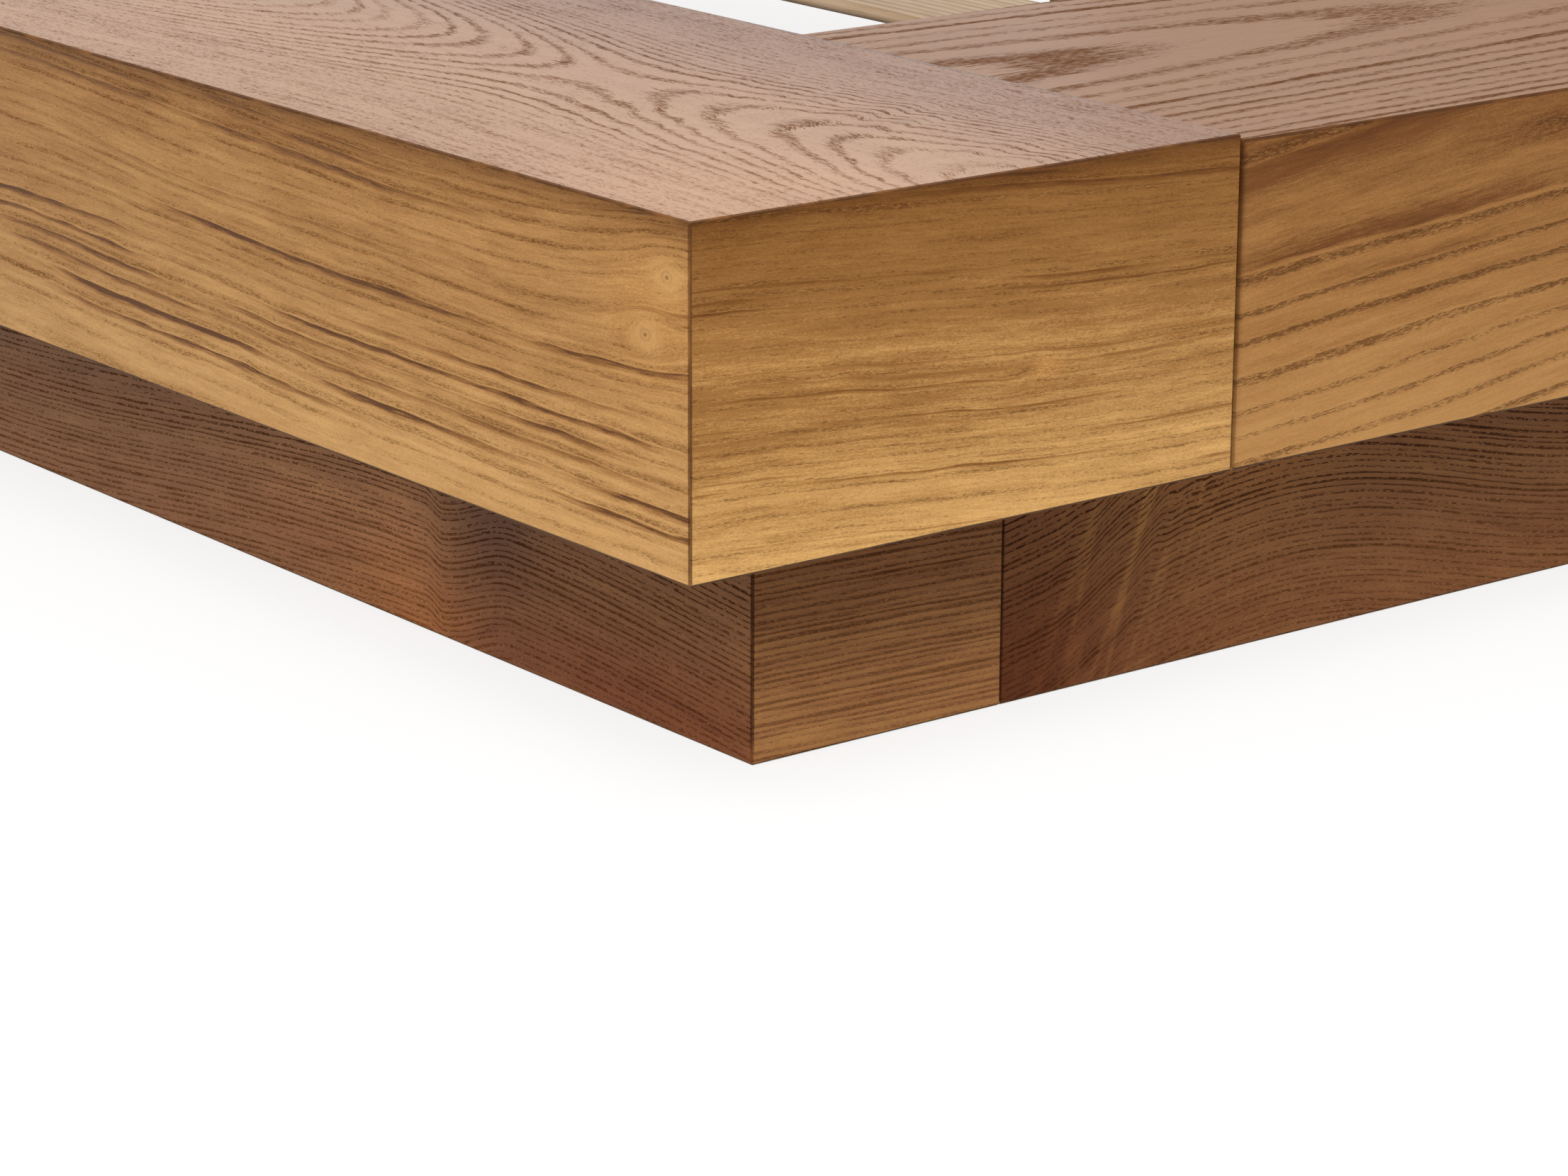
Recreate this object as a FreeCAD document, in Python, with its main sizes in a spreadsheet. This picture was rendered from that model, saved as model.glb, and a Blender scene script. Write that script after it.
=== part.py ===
import FreeCAD
import Part
import Sketcher
import math
import os

# A low platform bed: wide mitred box rails on a recessed plinth, two slat mats
# on ledgers and a centre beam, and a leaning headboard on the head rail.
# X runs across the bed, Y from foot to head, Z up from the floor.

# Driving sizes in millimetres
SIZES = {
    # mattress and the well it lies in
    "mattress_width": 1800,
    "mattress_length": 2000,
    "mattress_gap": 10,
    # box rails
    "foot_rail_width": 297,
    "side_rail_width": 318,
    "head_rail_width": 150,
    "rail_height": 150,
    "side_rail_drop": 3,
    "rail_board": 18,
    "rail_joint_gap": 1.0,
    "rib_board": 18,
    "rib_count": 4,
    "arris": 1.2,
    # recessed plinth
    "plinth_height": 142,
    "plinth_width": 147,
    "plinth_setback": 140,
    "plinth_wall_setback": 20,
    "plinth_board": 16,
    "plinth_joint_gap": 0.3,
    # slat mats
    "slat_count": 11,
    "slat_width": 90,
    "slat_thickness": 8,
    "slat_recess": 52,
    "slat_margin": 90,
    "slat_end_gap": 4,
    "strap_width": 28,
    "strap_thickness": 1.2,
    "strap_inset": 150,
    "strap_overhang": 12,
    "staple_width": 12,
    "staple_wire": 1.1,
    "staple_bite": 5,
    # ledgers and centre beam
    "ledger_width": 30,
    "ledger_height": 40,
    "ledger_end_gap": 70,
    "ledger_screw_count": 6,
    "ledger_screw_inset": 80,
    "beam_width": 60,
    "beam_height": 60,
    "hanger_steel": 2.5,
    "hanger_depth": 45,
    "hanger_wing": 30,
    "hanger_clearance": 0.3,
    # centre legs and levelling feet
    "leg_size": 45,
    "leg_pitch": 500,
    "leg_bolt_radius": 3,
    "leg_bolt_head_radius": 6,
    "leg_bolt_head_height": 4,
    "leg_bolt_bite": 40,
    "foot_radius": 20,
    "foot_height": 10,
    "foot_lift": 14,
    "foot_travel": 10,
    "stem_radius": 5,
    "stem_length": 45,
    "stem_bore_gap": 1,
    "insert_wall": 2,
    "insert_length": 22,
    "insert_flange": 11,
    "insert_flange_thickness": 1.5,
    # corner brackets
    "bracket_flange": 60,
    "bracket_height": 60,
    "bracket_steel": 3,
    "bracket_bolt_offset": 38,
    "bracket_bolt_pitch": 30,
    "bolt_radius": 4,
    "bolt_head_radius": 8,
    "bolt_head_height": 4.5,
    # wood screws and dowels
    "screw_radius": 2.2,
    "screw_head_radius": 4.5,
    "screw_head_height": 2.5,
    "screw_bite": 15,
    "dowel_radius": 5,
    "rail_dowel_inset": 70,
    "plinth_dowel_inset": 40,
    "hole_clearance": 0.2,
    # headboard
    "headboard_height": 440,
    "headboard_rake": 70,
    "headboard_front_gap": 20,
    "headboard_side_gap": 30,
    "headboard_skin": 12,
    "headboard_core": 21,
    "headboard_batten": 60,
    "headboard_lipping": 6,
    "gusset_board": 36,
    "gusset_height": 170,
    "gusset_pitch": 720,
    "gusset_back_gap": 10,
    "gusset_dowel_inset": 15,
    "headboard_screw_height": 120,
}

# Places worked out from the sizes, as expression text
WELL_X = "(Dims.mattress_width / 2 + Dims.mattress_gap)"
OUTER_X = f"({WELL_X} + Dims.side_rail_width)"
WELL_LENGTH = "(Dims.mattress_length + 2 * Dims.mattress_gap)"
LENGTH = f"(Dims.foot_rail_width + {WELL_LENGTH} + Dims.head_rail_width)"
FOOT_Y = f"(-{LENGTH} / 2)"
HEAD_Y = f"({LENGTH} / 2)"
WELL_FOOT_Y = f"({FOOT_Y} + Dims.foot_rail_width)"
WELL_HEAD_Y = f"({HEAD_Y} - Dims.head_rail_width)"
WELL_MIDDLE_Y = f"(({WELL_FOOT_Y} + {WELL_HEAD_Y}) / 2)"
RAIL_BOTTOM = "Dims.plinth_height"
RAIL_TOP = f"({RAIL_BOTTOM} + Dims.rail_height)"
SIDE_TOP = f"({RAIL_TOP} - Dims.side_rail_drop)"
SLAT_TOP = f"({RAIL_TOP} - Dims.slat_recess)"
SLAT_BOTTOM = f"({SLAT_TOP} - Dims.slat_thickness)"
SLAT_PITCH = f"(({WELL_LENGTH} - 2 * Dims.slat_margin - Dims.slat_width) / (Dims.slat_count - 1))"
FIRST_SLAT_Y = f"({WELL_FOOT_Y} + Dims.slat_margin + Dims.slat_width / 2)"
PLINTH_X = f"({OUTER_X} - Dims.plinth_setback)"
PLINTH_FOOT_Y = f"({FOOT_Y} + Dims.plinth_setback)"
PLINTH_HEAD_Y = f"({HEAD_Y} - Dims.plinth_wall_setback)"
BEAM_BOTTOM = f"({SLAT_BOTTOM} - Dims.beam_height)"
LEG_BOTTOM = "(Dims.foot_height + Dims.foot_lift)"
HEADBOARD_X = f"({OUTER_X} - Dims.headboard_side_gap)"
HEADBOARD_Y = f"({WELL_HEAD_Y} + Dims.headboard_front_gap)"
HEADBOARD_DEPTH = "(2 * Dims.headboard_skin + Dims.headboard_core)"
GUSSET_BACK_Y = f"({HEAD_Y} - Dims.gusset_back_gap)"

DOC = FreeCAD.newDocument("PlatformBed")
SHEET = DOC.addObject("Spreadsheet::Sheet", "Dims")
NODES = []


def fill_sheet():
    for row, (alias, value) in enumerate(SIZES.items(), start=1):
        SHEET.set(f"A{row}", alias)
        SHEET.set(f"B{row}", str(value))
        SHEET.setAlias(f"B{row}", alias)
    DOC.recompute()


def value_of(expression):
    return float(SHEET.evalExpression(expression))


def bind(thing, **expressions):
    for name, expression in expressions.items():
        thing.setExpression(name, expression)


def bind_base(thing, x, y, z):
    thing.setExpression(".Placement.Base.x", x)
    thing.setExpression(".Placement.Base.y", y)
    thing.setExpression(".Placement.Base.z", z)


def node(label, thing):
    thing.Label = label
    NODES.append(thing)
    return thing


# Basic solids and their combinations

TURN_FROM_Y = {
    "X": FreeCAD.Rotation(FreeCAD.Vector(0, 0, 1), -90),
    "Y": FreeCAD.Rotation(),
    "Z": FreeCAD.Rotation(FreeCAD.Vector(1, 0, 0), 90),
}

TURN_FROM_Z = {
    "X": FreeCAD.Rotation(FreeCAD.Vector(0, 1, 0), 90),
    "Y": FreeCAD.Rotation(FreeCAD.Vector(1, 0, 0), -90),
    "Z": FreeCAD.Rotation(),
}


def block(x, y, z):
    box = DOC.addObject("Part::Box", "Block")
    bind(box, Length=f"{x[1]} - ({x[0]})", Width=f"{y[1]} - ({y[0]})", Height=f"{z[1]} - ({z[0]})")
    bind_base(box, x[0], y[0], z[0])
    return box


def reversed_span(span):
    return f"-({span[1]})", f"-({span[0]})"


def tapered_block(axis, low, high, low_spans, high_spans):
    """A solid between two rectangles, one at each end of an axis, in global coordinates."""
    low_u, low_v = low_spans
    high_u, high_v = high_spans
    if axis == "X":
        low_u, high_u = reversed_span(low_u), reversed_span(high_u)
    if axis == "Z":
        low_v, high_v = reversed_span(low_v), reversed_span(high_v)
    wedge = DOC.addObject("Part::Wedge", "Taper")
    wedge.Placement.Rotation = TURN_FROM_Y[axis]
    bind(wedge, Ymin=low, Ymax=high)
    bind(wedge, Xmin=low_u[0], Xmax=low_u[1], Zmin=low_v[0], Zmax=low_v[1])
    bind(wedge, X2min=high_u[0], X2max=high_u[1], Z2min=high_v[0], Z2max=high_v[1])
    return wedge


def rod(axis, radius, low, high, u, v):
    """A cylinder along an axis. u and v are its other two coordinates, in X, Y, Z order."""
    cylinder = DOC.addObject("Part::Cylinder", "Rod")
    cylinder.Placement.Rotation = TURN_FROM_Z[axis]
    bind(cylinder, Radius=radius, Height=f"{high} - ({low})")
    base = {"X": (low, u, v), "Y": (u, low, v), "Z": (u, v, low)}[axis]
    bind_base(cylinder, *base)
    return cylinder


def fused(*pieces):
    union = DOC.addObject("Part::MultiFuse", "Union")
    union.Shapes = list(pieces)
    return union


def grouped(*pieces):
    compound = DOC.addObject("Part::Compound", "Group")
    compound.Links = list(pieces)
    return compound


def drilled(piece, holes):
    cut = DOC.addObject("Part::Cut", "Drilled")
    cut.Base = piece
    cut.Tool = grouped(*holes)
    return cut


def mirrored(piece):
    copy = DOC.addObject("Part::Mirroring", "Mirrored")
    copy.Source = piece
    copy.Base = FreeCAD.Vector(0, 0, 0)
    copy.Normal = FreeCAD.Vector(1, 0, 0)
    return copy


def with_mirrored(pieces):
    return list(pieces) + [mirrored(piece) for piece in pieces]


# Mitred box beams

def mitred_panel(facing, spans, board, mitred_axes):
    """One board of a box beam, with 45 degree edges on the mitred axes and an eased outer arris."""
    axis = facing[1]
    outward = facing[0] == "+"
    outer = spans[axis][1] if outward else spans[axis][0]
    cross_axes = [letter for letter in "XYZ" if letter != axis]

    def level(depth):
        return f"{outer} - {depth}" if outward else f"{outer} + {depth}"

    def outline(inset):
        return [
            (f"{spans[letter][0]} + {inset}", f"{spans[letter][1]} - {inset}")
            if letter in mitred_axes else spans[letter]
            for letter in cross_axes
        ]

    half_arris = "Dims.arris / 2"
    layers = [
        ("0", half_arris, outline("Dims.arris"), outline(half_arris)),
        (half_arris, board, outline(half_arris), outline(board)),
    ]
    slices = []
    for near, far, near_outline, far_outline in layers:
        if outward:
            slices.append(tapered_block(axis, level(far), level(near), far_outline, near_outline))
        else:
            slices.append(tapered_block(axis, level(near), level(far), near_outline, far_outline))
    return fused(*slices)


def box_beam(run, spans, board, closed_ends):
    """The boards of a hollow beam, keyed by the way they face, such as "+Z"."""
    panels = {}
    for axis in "XYZ":
        if axis == run and not closed_ends:
            continue
        for sign in "-+":
            mitred_axes = [letter for letter in "XYZ" if closed_ends or letter != run]
            panels[sign + axis] = mitred_panel(sign + axis, spans, board, mitred_axes)
    return panels


def inner_span(span, board):
    return f"{span[0]} + {board}", f"{span[1]} - {board}"


def ribs_in(run, spans, board, with_end_plates):
    """Cross boards inside a beam, evenly spaced, with end plates where the beam has open ends."""
    inside = {axis: inner_span(span, board) for axis, span in spans.items() if axis != run}
    low, high = spans[run]
    starts = []
    for index in range(1, int(value_of("Dims.rib_count")) + 1):
        middle = f"({low} + ({high} - ({low})) * {index} / (Dims.rib_count + 1))"
        starts.append(f"{middle} - Dims.rib_board / 2")
    if with_end_plates:
        starts.append(low)
        starts.append(f"{high} - Dims.rib_board")
    ribs = []
    for start in starts:
        inside[run] = (start, f"{start} + Dims.rib_board")
        ribs.append(block(inside["X"], inside["Y"], inside["Z"]))
    return ribs


FOOT_RAIL = {"X": (f"-{OUTER_X}", OUTER_X), "Y": (FOOT_Y, WELL_FOOT_Y), "Z": (RAIL_BOTTOM, RAIL_TOP)}
HEAD_RAIL = {"X": (f"-{OUTER_X}", OUTER_X), "Y": (WELL_HEAD_Y, HEAD_Y), "Z": (RAIL_BOTTOM, RAIL_TOP)}
SIDE_RAIL = {
    "X": (WELL_X, OUTER_X),
    "Y": (f"{WELL_FOOT_Y} + Dims.rail_joint_gap", f"{WELL_HEAD_Y} - Dims.rail_joint_gap"),
    "Z": (RAIL_BOTTOM, SIDE_TOP),
}
FOOT_PLINTH = {
    "X": (f"-{PLINTH_X}", PLINTH_X),
    "Y": (PLINTH_FOOT_Y, f"{PLINTH_FOOT_Y} + Dims.plinth_width"),
    "Z": ("0", RAIL_BOTTOM),
}
HEAD_PLINTH = {
    "X": (f"-{PLINTH_X}", PLINTH_X),
    "Y": (f"{PLINTH_HEAD_Y} - Dims.plinth_width", PLINTH_HEAD_Y),
    "Z": ("0", RAIL_BOTTOM),
}
SIDE_PLINTH = {
    "X": (f"{PLINTH_X} - Dims.plinth_width", PLINTH_X),
    "Y": (
        f"{FOOT_PLINTH['Y'][1]} + Dims.plinth_joint_gap",
        f"{HEAD_PLINTH['Y'][0]} - Dims.plinth_joint_gap",
    ),
    "Z": ("0", RAIL_BOTTOM),
}


# Dowels, bolts and the holes drilled for them

HOLE = "Dims.hole_clearance"


def dowel(axis, low, high, u, v):
    return rod(axis, "Dims.dowel_radius", low, high, u, v)


def dowel_hole(axis, low, high, u, v):
    return rod(axis, f"Dims.dowel_radius + {HOLE}", low, high, u, v)


def butt_joint_dowels(spans, cross_board_low, cross_board_high, inset):
    """Dowels at both ends of a side beam: the pins, the holes at the foot, the holes at the head."""
    z = f"({spans['Z'][0]} + {spans['Z'][1]}) / 2"
    places = [f"{spans['X'][0]} + {inset}", f"{spans['X'][1]} - {inset}"]
    foot_end = (cross_board_low, f"{spans['Y'][0]} + Dims.rib_board")
    head_end = (f"{spans['Y'][1]} - Dims.rib_board", cross_board_high)
    pins = [dowel("Y", *end, x, z) for end in (foot_end, head_end) for x in places]
    foot_holes = [dowel_hole("Y", *foot_end, x, z) for x in places]
    head_holes = [dowel_hole("Y", *head_end, x, z) for x in places]
    return pins, foot_holes, head_holes


def seat_dowel_places():
    """Where the rails are pinned to the plinth below: foot beam, head beam and right-hand beam."""
    def middle(span):
        return f"({span[0]} + {span[1]}) / 2"

    ends = [f"{PLINTH_X} - Dims.plinth_width / 2", f"-({PLINTH_X} - Dims.plinth_width / 2)", "0"]
    foot = [(x, middle(FOOT_PLINTH["Y"])) for x in ends]
    head = [(x, f"{HEAD_Y} - Dims.head_rail_width / 2") for x in ends]
    quarter = f"({SIDE_PLINTH['Y'][1]} - ({SIDE_PLINTH['Y'][0]})) / 4"
    runs = [f"{WELL_MIDDLE_Y} - {quarter}", WELL_MIDDLE_Y, f"{WELL_MIDDLE_Y} + {quarter}"]
    side = [(middle(SIDE_PLINTH["X"]), y) for y in runs]
    return foot, head, side


def seat_span():
    return f"{RAIL_BOTTOM} - Dims.plinth_board", f"{RAIL_BOTTOM} + Dims.rail_board"


def seat_dowels(places):
    return [dowel("Z", *seat_span(), x, y) for x, y in places]


def seat_holes(places):
    return [dowel_hole("Z", *seat_span(), x, y) for x, y in places]


def headed_pin(axis, head_side, seat, length, radius, head_radius, head_height, u, v):
    """A bolt or screw whose head sits on a plane, with its shank on the far side of it."""
    if head_side == "+":
        head = rod(axis, head_radius, seat, f"{seat} + {head_height}", u, v)
        shank = rod(axis, radius, f"{seat} - ({length})", seat, u, v)
    else:
        head = rod(axis, head_radius, f"{seat} - {head_height}", seat, u, v)
        shank = rod(axis, radius, seat, f"{seat} + {length}", u, v)
    return fused(head, shank)


def wood_screw(axis, head_side, seat, length, u, v):
    sizes = ("Dims.screw_radius", "Dims.screw_head_radius", "Dims.screw_head_height")
    return headed_pin(axis, head_side, seat, length, *sizes, u, v)


def screw_hole(axis, low, high, u, v):
    return rod(axis, f"Dims.screw_radius + {HOLE}", low, high, u, v)


def bracket_bolt(axis, head_side, seat, u, v):
    length = "Dims.bracket_steel + Dims.rail_board"
    sizes = ("Dims.bolt_radius", "Dims.bolt_head_radius", "Dims.bolt_head_height")
    return headed_pin(axis, head_side, seat, length, *sizes, u, v)


def bolt_hole(axis, low, high, u, v):
    return rod(axis, f"Dims.bolt_radius + {HOLE}", low, high, u, v)


# Sketch helpers

def plane_of(body, role):
    for feature in body.Origin.OriginFeatures:
        if feature.Role == role:
            return feature
    raise ValueError(f"no plane {role}")


def sketch_on(body, role):
    sketch = body.newObject("Sketcher::SketchObject", "Outline")
    sketch.AttachmentSupport = [(plane_of(body, role), "")]
    sketch.MapMode = "FlatFace"
    return sketch


def closed_outline(sketch, corners):
    """Straight-sided outline. Each corner is a pair of expressions bound to its own constraints."""
    points = [FreeCAD.Vector(value_of(u), value_of(v), 0) for u, v in corners]
    count = len(points)
    for index in range(count):
        sketch.addGeometry(Part.LineSegment(points[index], points[(index + 1) % count]))
    for index in range(count):
        sketch.addConstraint(Sketcher.Constraint("Coincident", index, 2, (index + 1) % count, 1))
    for index, (u, v) in enumerate(corners):
        for kind, expression, start in (("DistanceX", u, points[index].x), ("DistanceY", v, points[index].y)):
            name = f"{kind}_{index}"
            constraint = sketch.addConstraint(Sketcher.Constraint(kind, -1, 1, index, 1, start))
            sketch.renameConstraint(constraint, name)
            sketch.setExpression(f"Constraints.{name}", expression)


def slot_outline(sketch, width, thickness):
    """Flat bar section with fully rounded edges, centred on the sketch origin."""
    radius = value_of(thickness) / 2
    reach = value_of(width) / 2 - radius
    right_angle = math.pi / 2
    normal = FreeCAD.Vector(0, 0, 1)
    right = Part.Circle(FreeCAD.Vector(reach, 0, 0), normal, radius)
    left = Part.Circle(FreeCAD.Vector(-reach, 0, 0), normal, radius)
    sketch.addGeometry(Part.LineSegment(FreeCAD.Vector(-reach, radius, 0), FreeCAD.Vector(reach, radius, 0)))
    sketch.addGeometry(Part.ArcOfCircle(right, -right_angle, right_angle))
    sketch.addGeometry(Part.LineSegment(FreeCAD.Vector(reach, -radius, 0), FreeCAD.Vector(-reach, -radius, 0)))
    sketch.addGeometry(Part.ArcOfCircle(left, right_angle, 3 * right_angle))
    for first, first_end, second, second_end in ((0, 2, 1, 2), (1, 1, 2, 1), (2, 2, 3, 2), (3, 1, 0, 1)):
        sketch.addConstraint(Sketcher.Constraint("Tangent", first, first_end, second, second_end))
    sketch.addConstraint(Sketcher.Constraint("Horizontal", 0))
    sketch.addConstraint(Sketcher.Constraint("Symmetric", 1, 3, 3, 3, -1, 1))
    centres = sketch.addConstraint(Sketcher.Constraint("DistanceX", 3, 3, 1, 3, 2 * reach))
    sketch.renameConstraint(centres, "centres")
    edge = sketch.addConstraint(Sketcher.Constraint("Radius", 1, radius))
    sketch.renameConstraint(edge, "edge")
    sketch.setExpression("Constraints.centres", f"{width} - {thickness}")
    sketch.setExpression("Constraints.edge", f"{thickness} / 2")


def padded(body, sketch, length, centred=False):
    pad = body.newObject("PartDesign::Pad", "Pad")
    pad.Profile = sketch
    pad.Midplane = centred
    bind(pad, Length=length)
    return pad


def row_of(body, feature, sketch, count, pitch):
    """Repeat a feature along the sketch's horizontal axis as separate solids."""
    pattern = body.newObject("PartDesign::LinearPattern", "Row")
    pattern.Originals = [feature]
    pattern.Direction = (sketch, ["H_Axis"])
    bind(pattern, Length=f"({pitch}) * ({count} - 1)", Occurrences=count)
    body.Tip = pattern
    return pattern


# Rails and plinth

def make_rails():
    """Foot, head and side rails with every hole their fasteners need."""
    foot = box_beam("X", FOOT_RAIL, "Dims.rail_board", True)
    head = box_beam("X", HEAD_RAIL, "Dims.rail_board", True)
    side = box_beam("Y", SIDE_RAIL, "Dims.rail_board", False)

    foot_board_inside = f"{WELL_FOOT_Y} - Dims.rail_board"
    head_board_inside = f"{WELL_HEAD_Y} + Dims.rail_board"
    pins, foot_holes, head_holes = butt_joint_dowels(
        SIDE_RAIL, foot_board_inside, head_board_inside, "Dims.rail_dowel_inset")
    node("rail_dowels", grouped(*with_mirrored(pins), *make_gusset_dowels()))

    foot_seats, head_seats, side_seats = seat_dowel_places()
    bolts = corner_bolt_places()
    foot_bolt_holes = [bolt_hole("Y", foot_board_inside, WELL_FOOT_Y, x, z) for x, z in bolts["cross"]]
    head_bolt_holes = [bolt_hole("Y", WELL_HEAD_Y, head_board_inside, x, z) for x, z in bolts["cross"]]
    side_bolt_holes = [
        bolt_hole("X", WELL_X, f"{WELL_X} + Dims.rail_board", y, z) for y, z in bolts["foot"] + bolts["head"]
    ]
    hanger_holes = {
        "foot": [screw_hole("Y", foot_board_inside, WELL_FOOT_Y, x, z) for x, z in hanger_screw_places()],
        "head": [screw_hole("Y", WELL_HEAD_Y, head_board_inside, x, z) for x, z in hanger_screw_places()],
    }
    ledger_holes = [
        screw_hole("X", WELL_X, f"{WELL_X} + Dims.rail_board", y, z) for y, z in ledger_screw_places()
    ]

    node("foot_rail_front", foot["-Y"])
    node("foot_rail_top", foot["+Z"])
    foot_back_holes = with_mirrored(foot_holes + foot_bolt_holes) + hanger_holes["foot"]
    node("foot_rail_back", drilled(foot["+Y"], foot_back_holes))
    node("foot_rail_bottom", drilled(foot["-Z"], seat_holes(foot_seats)))
    node("foot_rail_ends", grouped(foot["-X"], foot["+X"]))
    node("foot_rail_ribs", grouped(*ribs_in("X", FOOT_RAIL, "Dims.rail_board", False)))

    head_front_holes = with_mirrored(head_holes + head_bolt_holes) + hanger_holes["head"]
    node("head_rail_front", drilled(head["-Y"], head_front_holes))
    node("head_rail_top", drilled(head["+Z"], gusset_dowel_holes()))
    node("head_rail_back", head["+Y"])
    node("head_rail_bottom", drilled(head["-Z"], seat_holes(head_seats)))
    node("head_rail_ends", grouped(head["-X"], head["+X"]))
    node("head_rail_ribs", grouped(*ribs_in("X", HEAD_RAIL, "Dims.rail_board", False)))

    side_ribs = grouped(*ribs_in("Y", SIDE_RAIL, "Dims.rail_board", True))
    right_side = {
        "outer": side["+X"],
        "top": side["+Z"],
        "inner": drilled(side["-X"], side_bolt_holes + ledger_holes),
        "bottom": drilled(side["-Z"], seat_holes(side_seats)),
        "ribs": drilled(side_ribs, foot_holes + head_holes),
    }
    for name, piece in right_side.items():
        node(f"right_rail_{name}", piece)
        node(f"left_rail_{name}", mirrored(piece))


def make_plinth():
    """Four recessed beams; only their outward faces are veneered, the rest is carcass."""
    foot = box_beam("X", FOOT_PLINTH, "Dims.plinth_board", True)
    head = box_beam("X", HEAD_PLINTH, "Dims.plinth_board", True)
    side = box_beam("Y", SIDE_PLINTH, "Dims.plinth_board", False)

    pins, foot_holes, head_holes = butt_joint_dowels(
        SIDE_PLINTH,
        f"{FOOT_PLINTH['Y'][1]} - Dims.plinth_board",
        f"{HEAD_PLINTH['Y'][0]} + Dims.plinth_board",
        "Dims.plinth_dowel_inset",
    )
    foot_seats, head_seats, side_seats = seat_dowel_places()
    side_pins = pins + seat_dowels(side_seats)
    node("plinth_dowels", grouped(*with_mirrored(side_pins), *seat_dowels(foot_seats + head_seats)))

    foot_ribs = ribs_in("X", FOOT_PLINTH, "Dims.plinth_board", False)
    node("plinth_foot_face", foot["-Y"])
    node("plinth_foot_ends", grouped(foot["-X"], foot["+X"]))
    foot_inner = drilled(foot["+Y"], with_mirrored(foot_holes))
    foot_top = drilled(foot["+Z"], seat_holes(foot_seats))
    node("plinth_foot_carcass", grouped(foot_inner, foot_top, foot["-Z"], *foot_ribs))

    head_ribs = ribs_in("X", HEAD_PLINTH, "Dims.plinth_board", False)
    node("plinth_head_face", head["+Y"])
    node("plinth_head_ends", grouped(head["-X"], head["+X"]))
    head_inner = drilled(head["-Y"], with_mirrored(head_holes))
    head_top = drilled(head["+Z"], seat_holes(head_seats))
    node("plinth_head_carcass", grouped(head_inner, head_top, head["-Z"], *head_ribs))

    side_ribs = grouped(*ribs_in("Y", SIDE_PLINTH, "Dims.plinth_board", True))
    side_top = drilled(side["+Z"], seat_holes(side_seats))
    drilled_ribs = drilled(side_ribs, foot_holes + head_holes)
    carcass = grouped(side["-X"], side_top, side["-Z"], drilled_ribs)
    node("plinth_right_face", side["+X"])
    node("plinth_left_face", mirrored(side["+X"]))
    node("plinth_right_carcass", carcass)
    node("plinth_left_carcass", mirrored(carcass))


# Corner brackets

def corner_bolt_places():
    """Bolt centres on the right-hand brackets: cross-rail flange in X and Z, side flange in Y and Z."""
    middle = f"({RAIL_BOTTOM} + {SLAT_BOTTOM}) / 2"
    heights = [f"{middle} - Dims.bracket_bolt_pitch / 2", f"{middle} + Dims.bracket_bolt_pitch / 2"]
    offset = "Dims.bracket_bolt_offset"
    return {
        "cross": [(f"{WELL_X} - {offset}", z) for z in heights],
        "foot": [(f"{WELL_FOOT_Y} + {offset}", z) for z in heights],
        "head": [(f"{WELL_HEAD_Y} - {offset}", z) for z in heights],
    }


def corner_bracket(holes, corner_y, inward):
    """Steel angle in one corner of the well, drilled for its bolts."""
    body = DOC.addObject("PartDesign::Body", "Bracket")
    sketch = sketch_on(body, "XY_Plane")
    steel = "Dims.bracket_steel"
    flange = "Dims.bracket_flange"
    corners = [
        ("0", "0"),
        (f"-{flange}", "0"),
        (f"-{flange}", f"{inward}{steel}"),
        (f"-{steel}", f"{inward}{steel}"),
        (f"-{steel}", f"{inward}{flange}"),
        ("0", f"{inward}{flange}"),
    ]
    closed_outline(sketch, corners)
    padded(body, sketch, "Dims.bracket_height")
    bind_base(body, WELL_X, corner_y, f"({RAIL_BOTTOM} + {SLAT_BOTTOM} - Dims.bracket_height) / 2")
    return drilled(body, holes)


def make_corner_brackets():
    places = corner_bolt_places()
    steel = "Dims.bracket_steel"
    side_inside = f"{WELL_X} - {steel}"
    brackets = []
    bolts = []
    for end, corner_y, inward in (("foot", WELL_FOOT_Y, ""), ("head", WELL_HEAD_Y, "-")):
        seat = f"{corner_y} + {inward}{steel}"
        low, high = (corner_y, seat) if end == "foot" else (seat, corner_y)
        holes = [bolt_hole("Y", low, high, x, z) for x, z in places["cross"]]
        holes += [bolt_hole("X", side_inside, WELL_X, y, z) for y, z in places[end]]
        brackets.append(corner_bracket(holes, corner_y, inward))
        head_side = "+" if end == "foot" else "-"
        bolts += [bracket_bolt("Y", head_side, seat, x, z) for x, z in places["cross"]]
        bolts += [bracket_bolt("X", "-", side_inside, y, z) for y, z in places[end]]
    node("corner_brackets", grouped(*with_mirrored(brackets)))
    node("bracket_bolts", grouped(*with_mirrored(bolts)))


# Ledgers, centre beam, legs and feet

def ledger_screw_places():
    first = f"{WELL_FOOT_Y} + Dims.ledger_end_gap + Dims.ledger_screw_inset"
    run = f"({WELL_LENGTH} - 2 * Dims.ledger_end_gap - 2 * Dims.ledger_screw_inset)"
    z = f"{SLAT_BOTTOM} - Dims.ledger_height / 2"
    count = int(value_of("Dims.ledger_screw_count"))
    return [(f"{first} + {run} * {index} / (Dims.ledger_screw_count - 1)", z) for index in range(count)]


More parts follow.
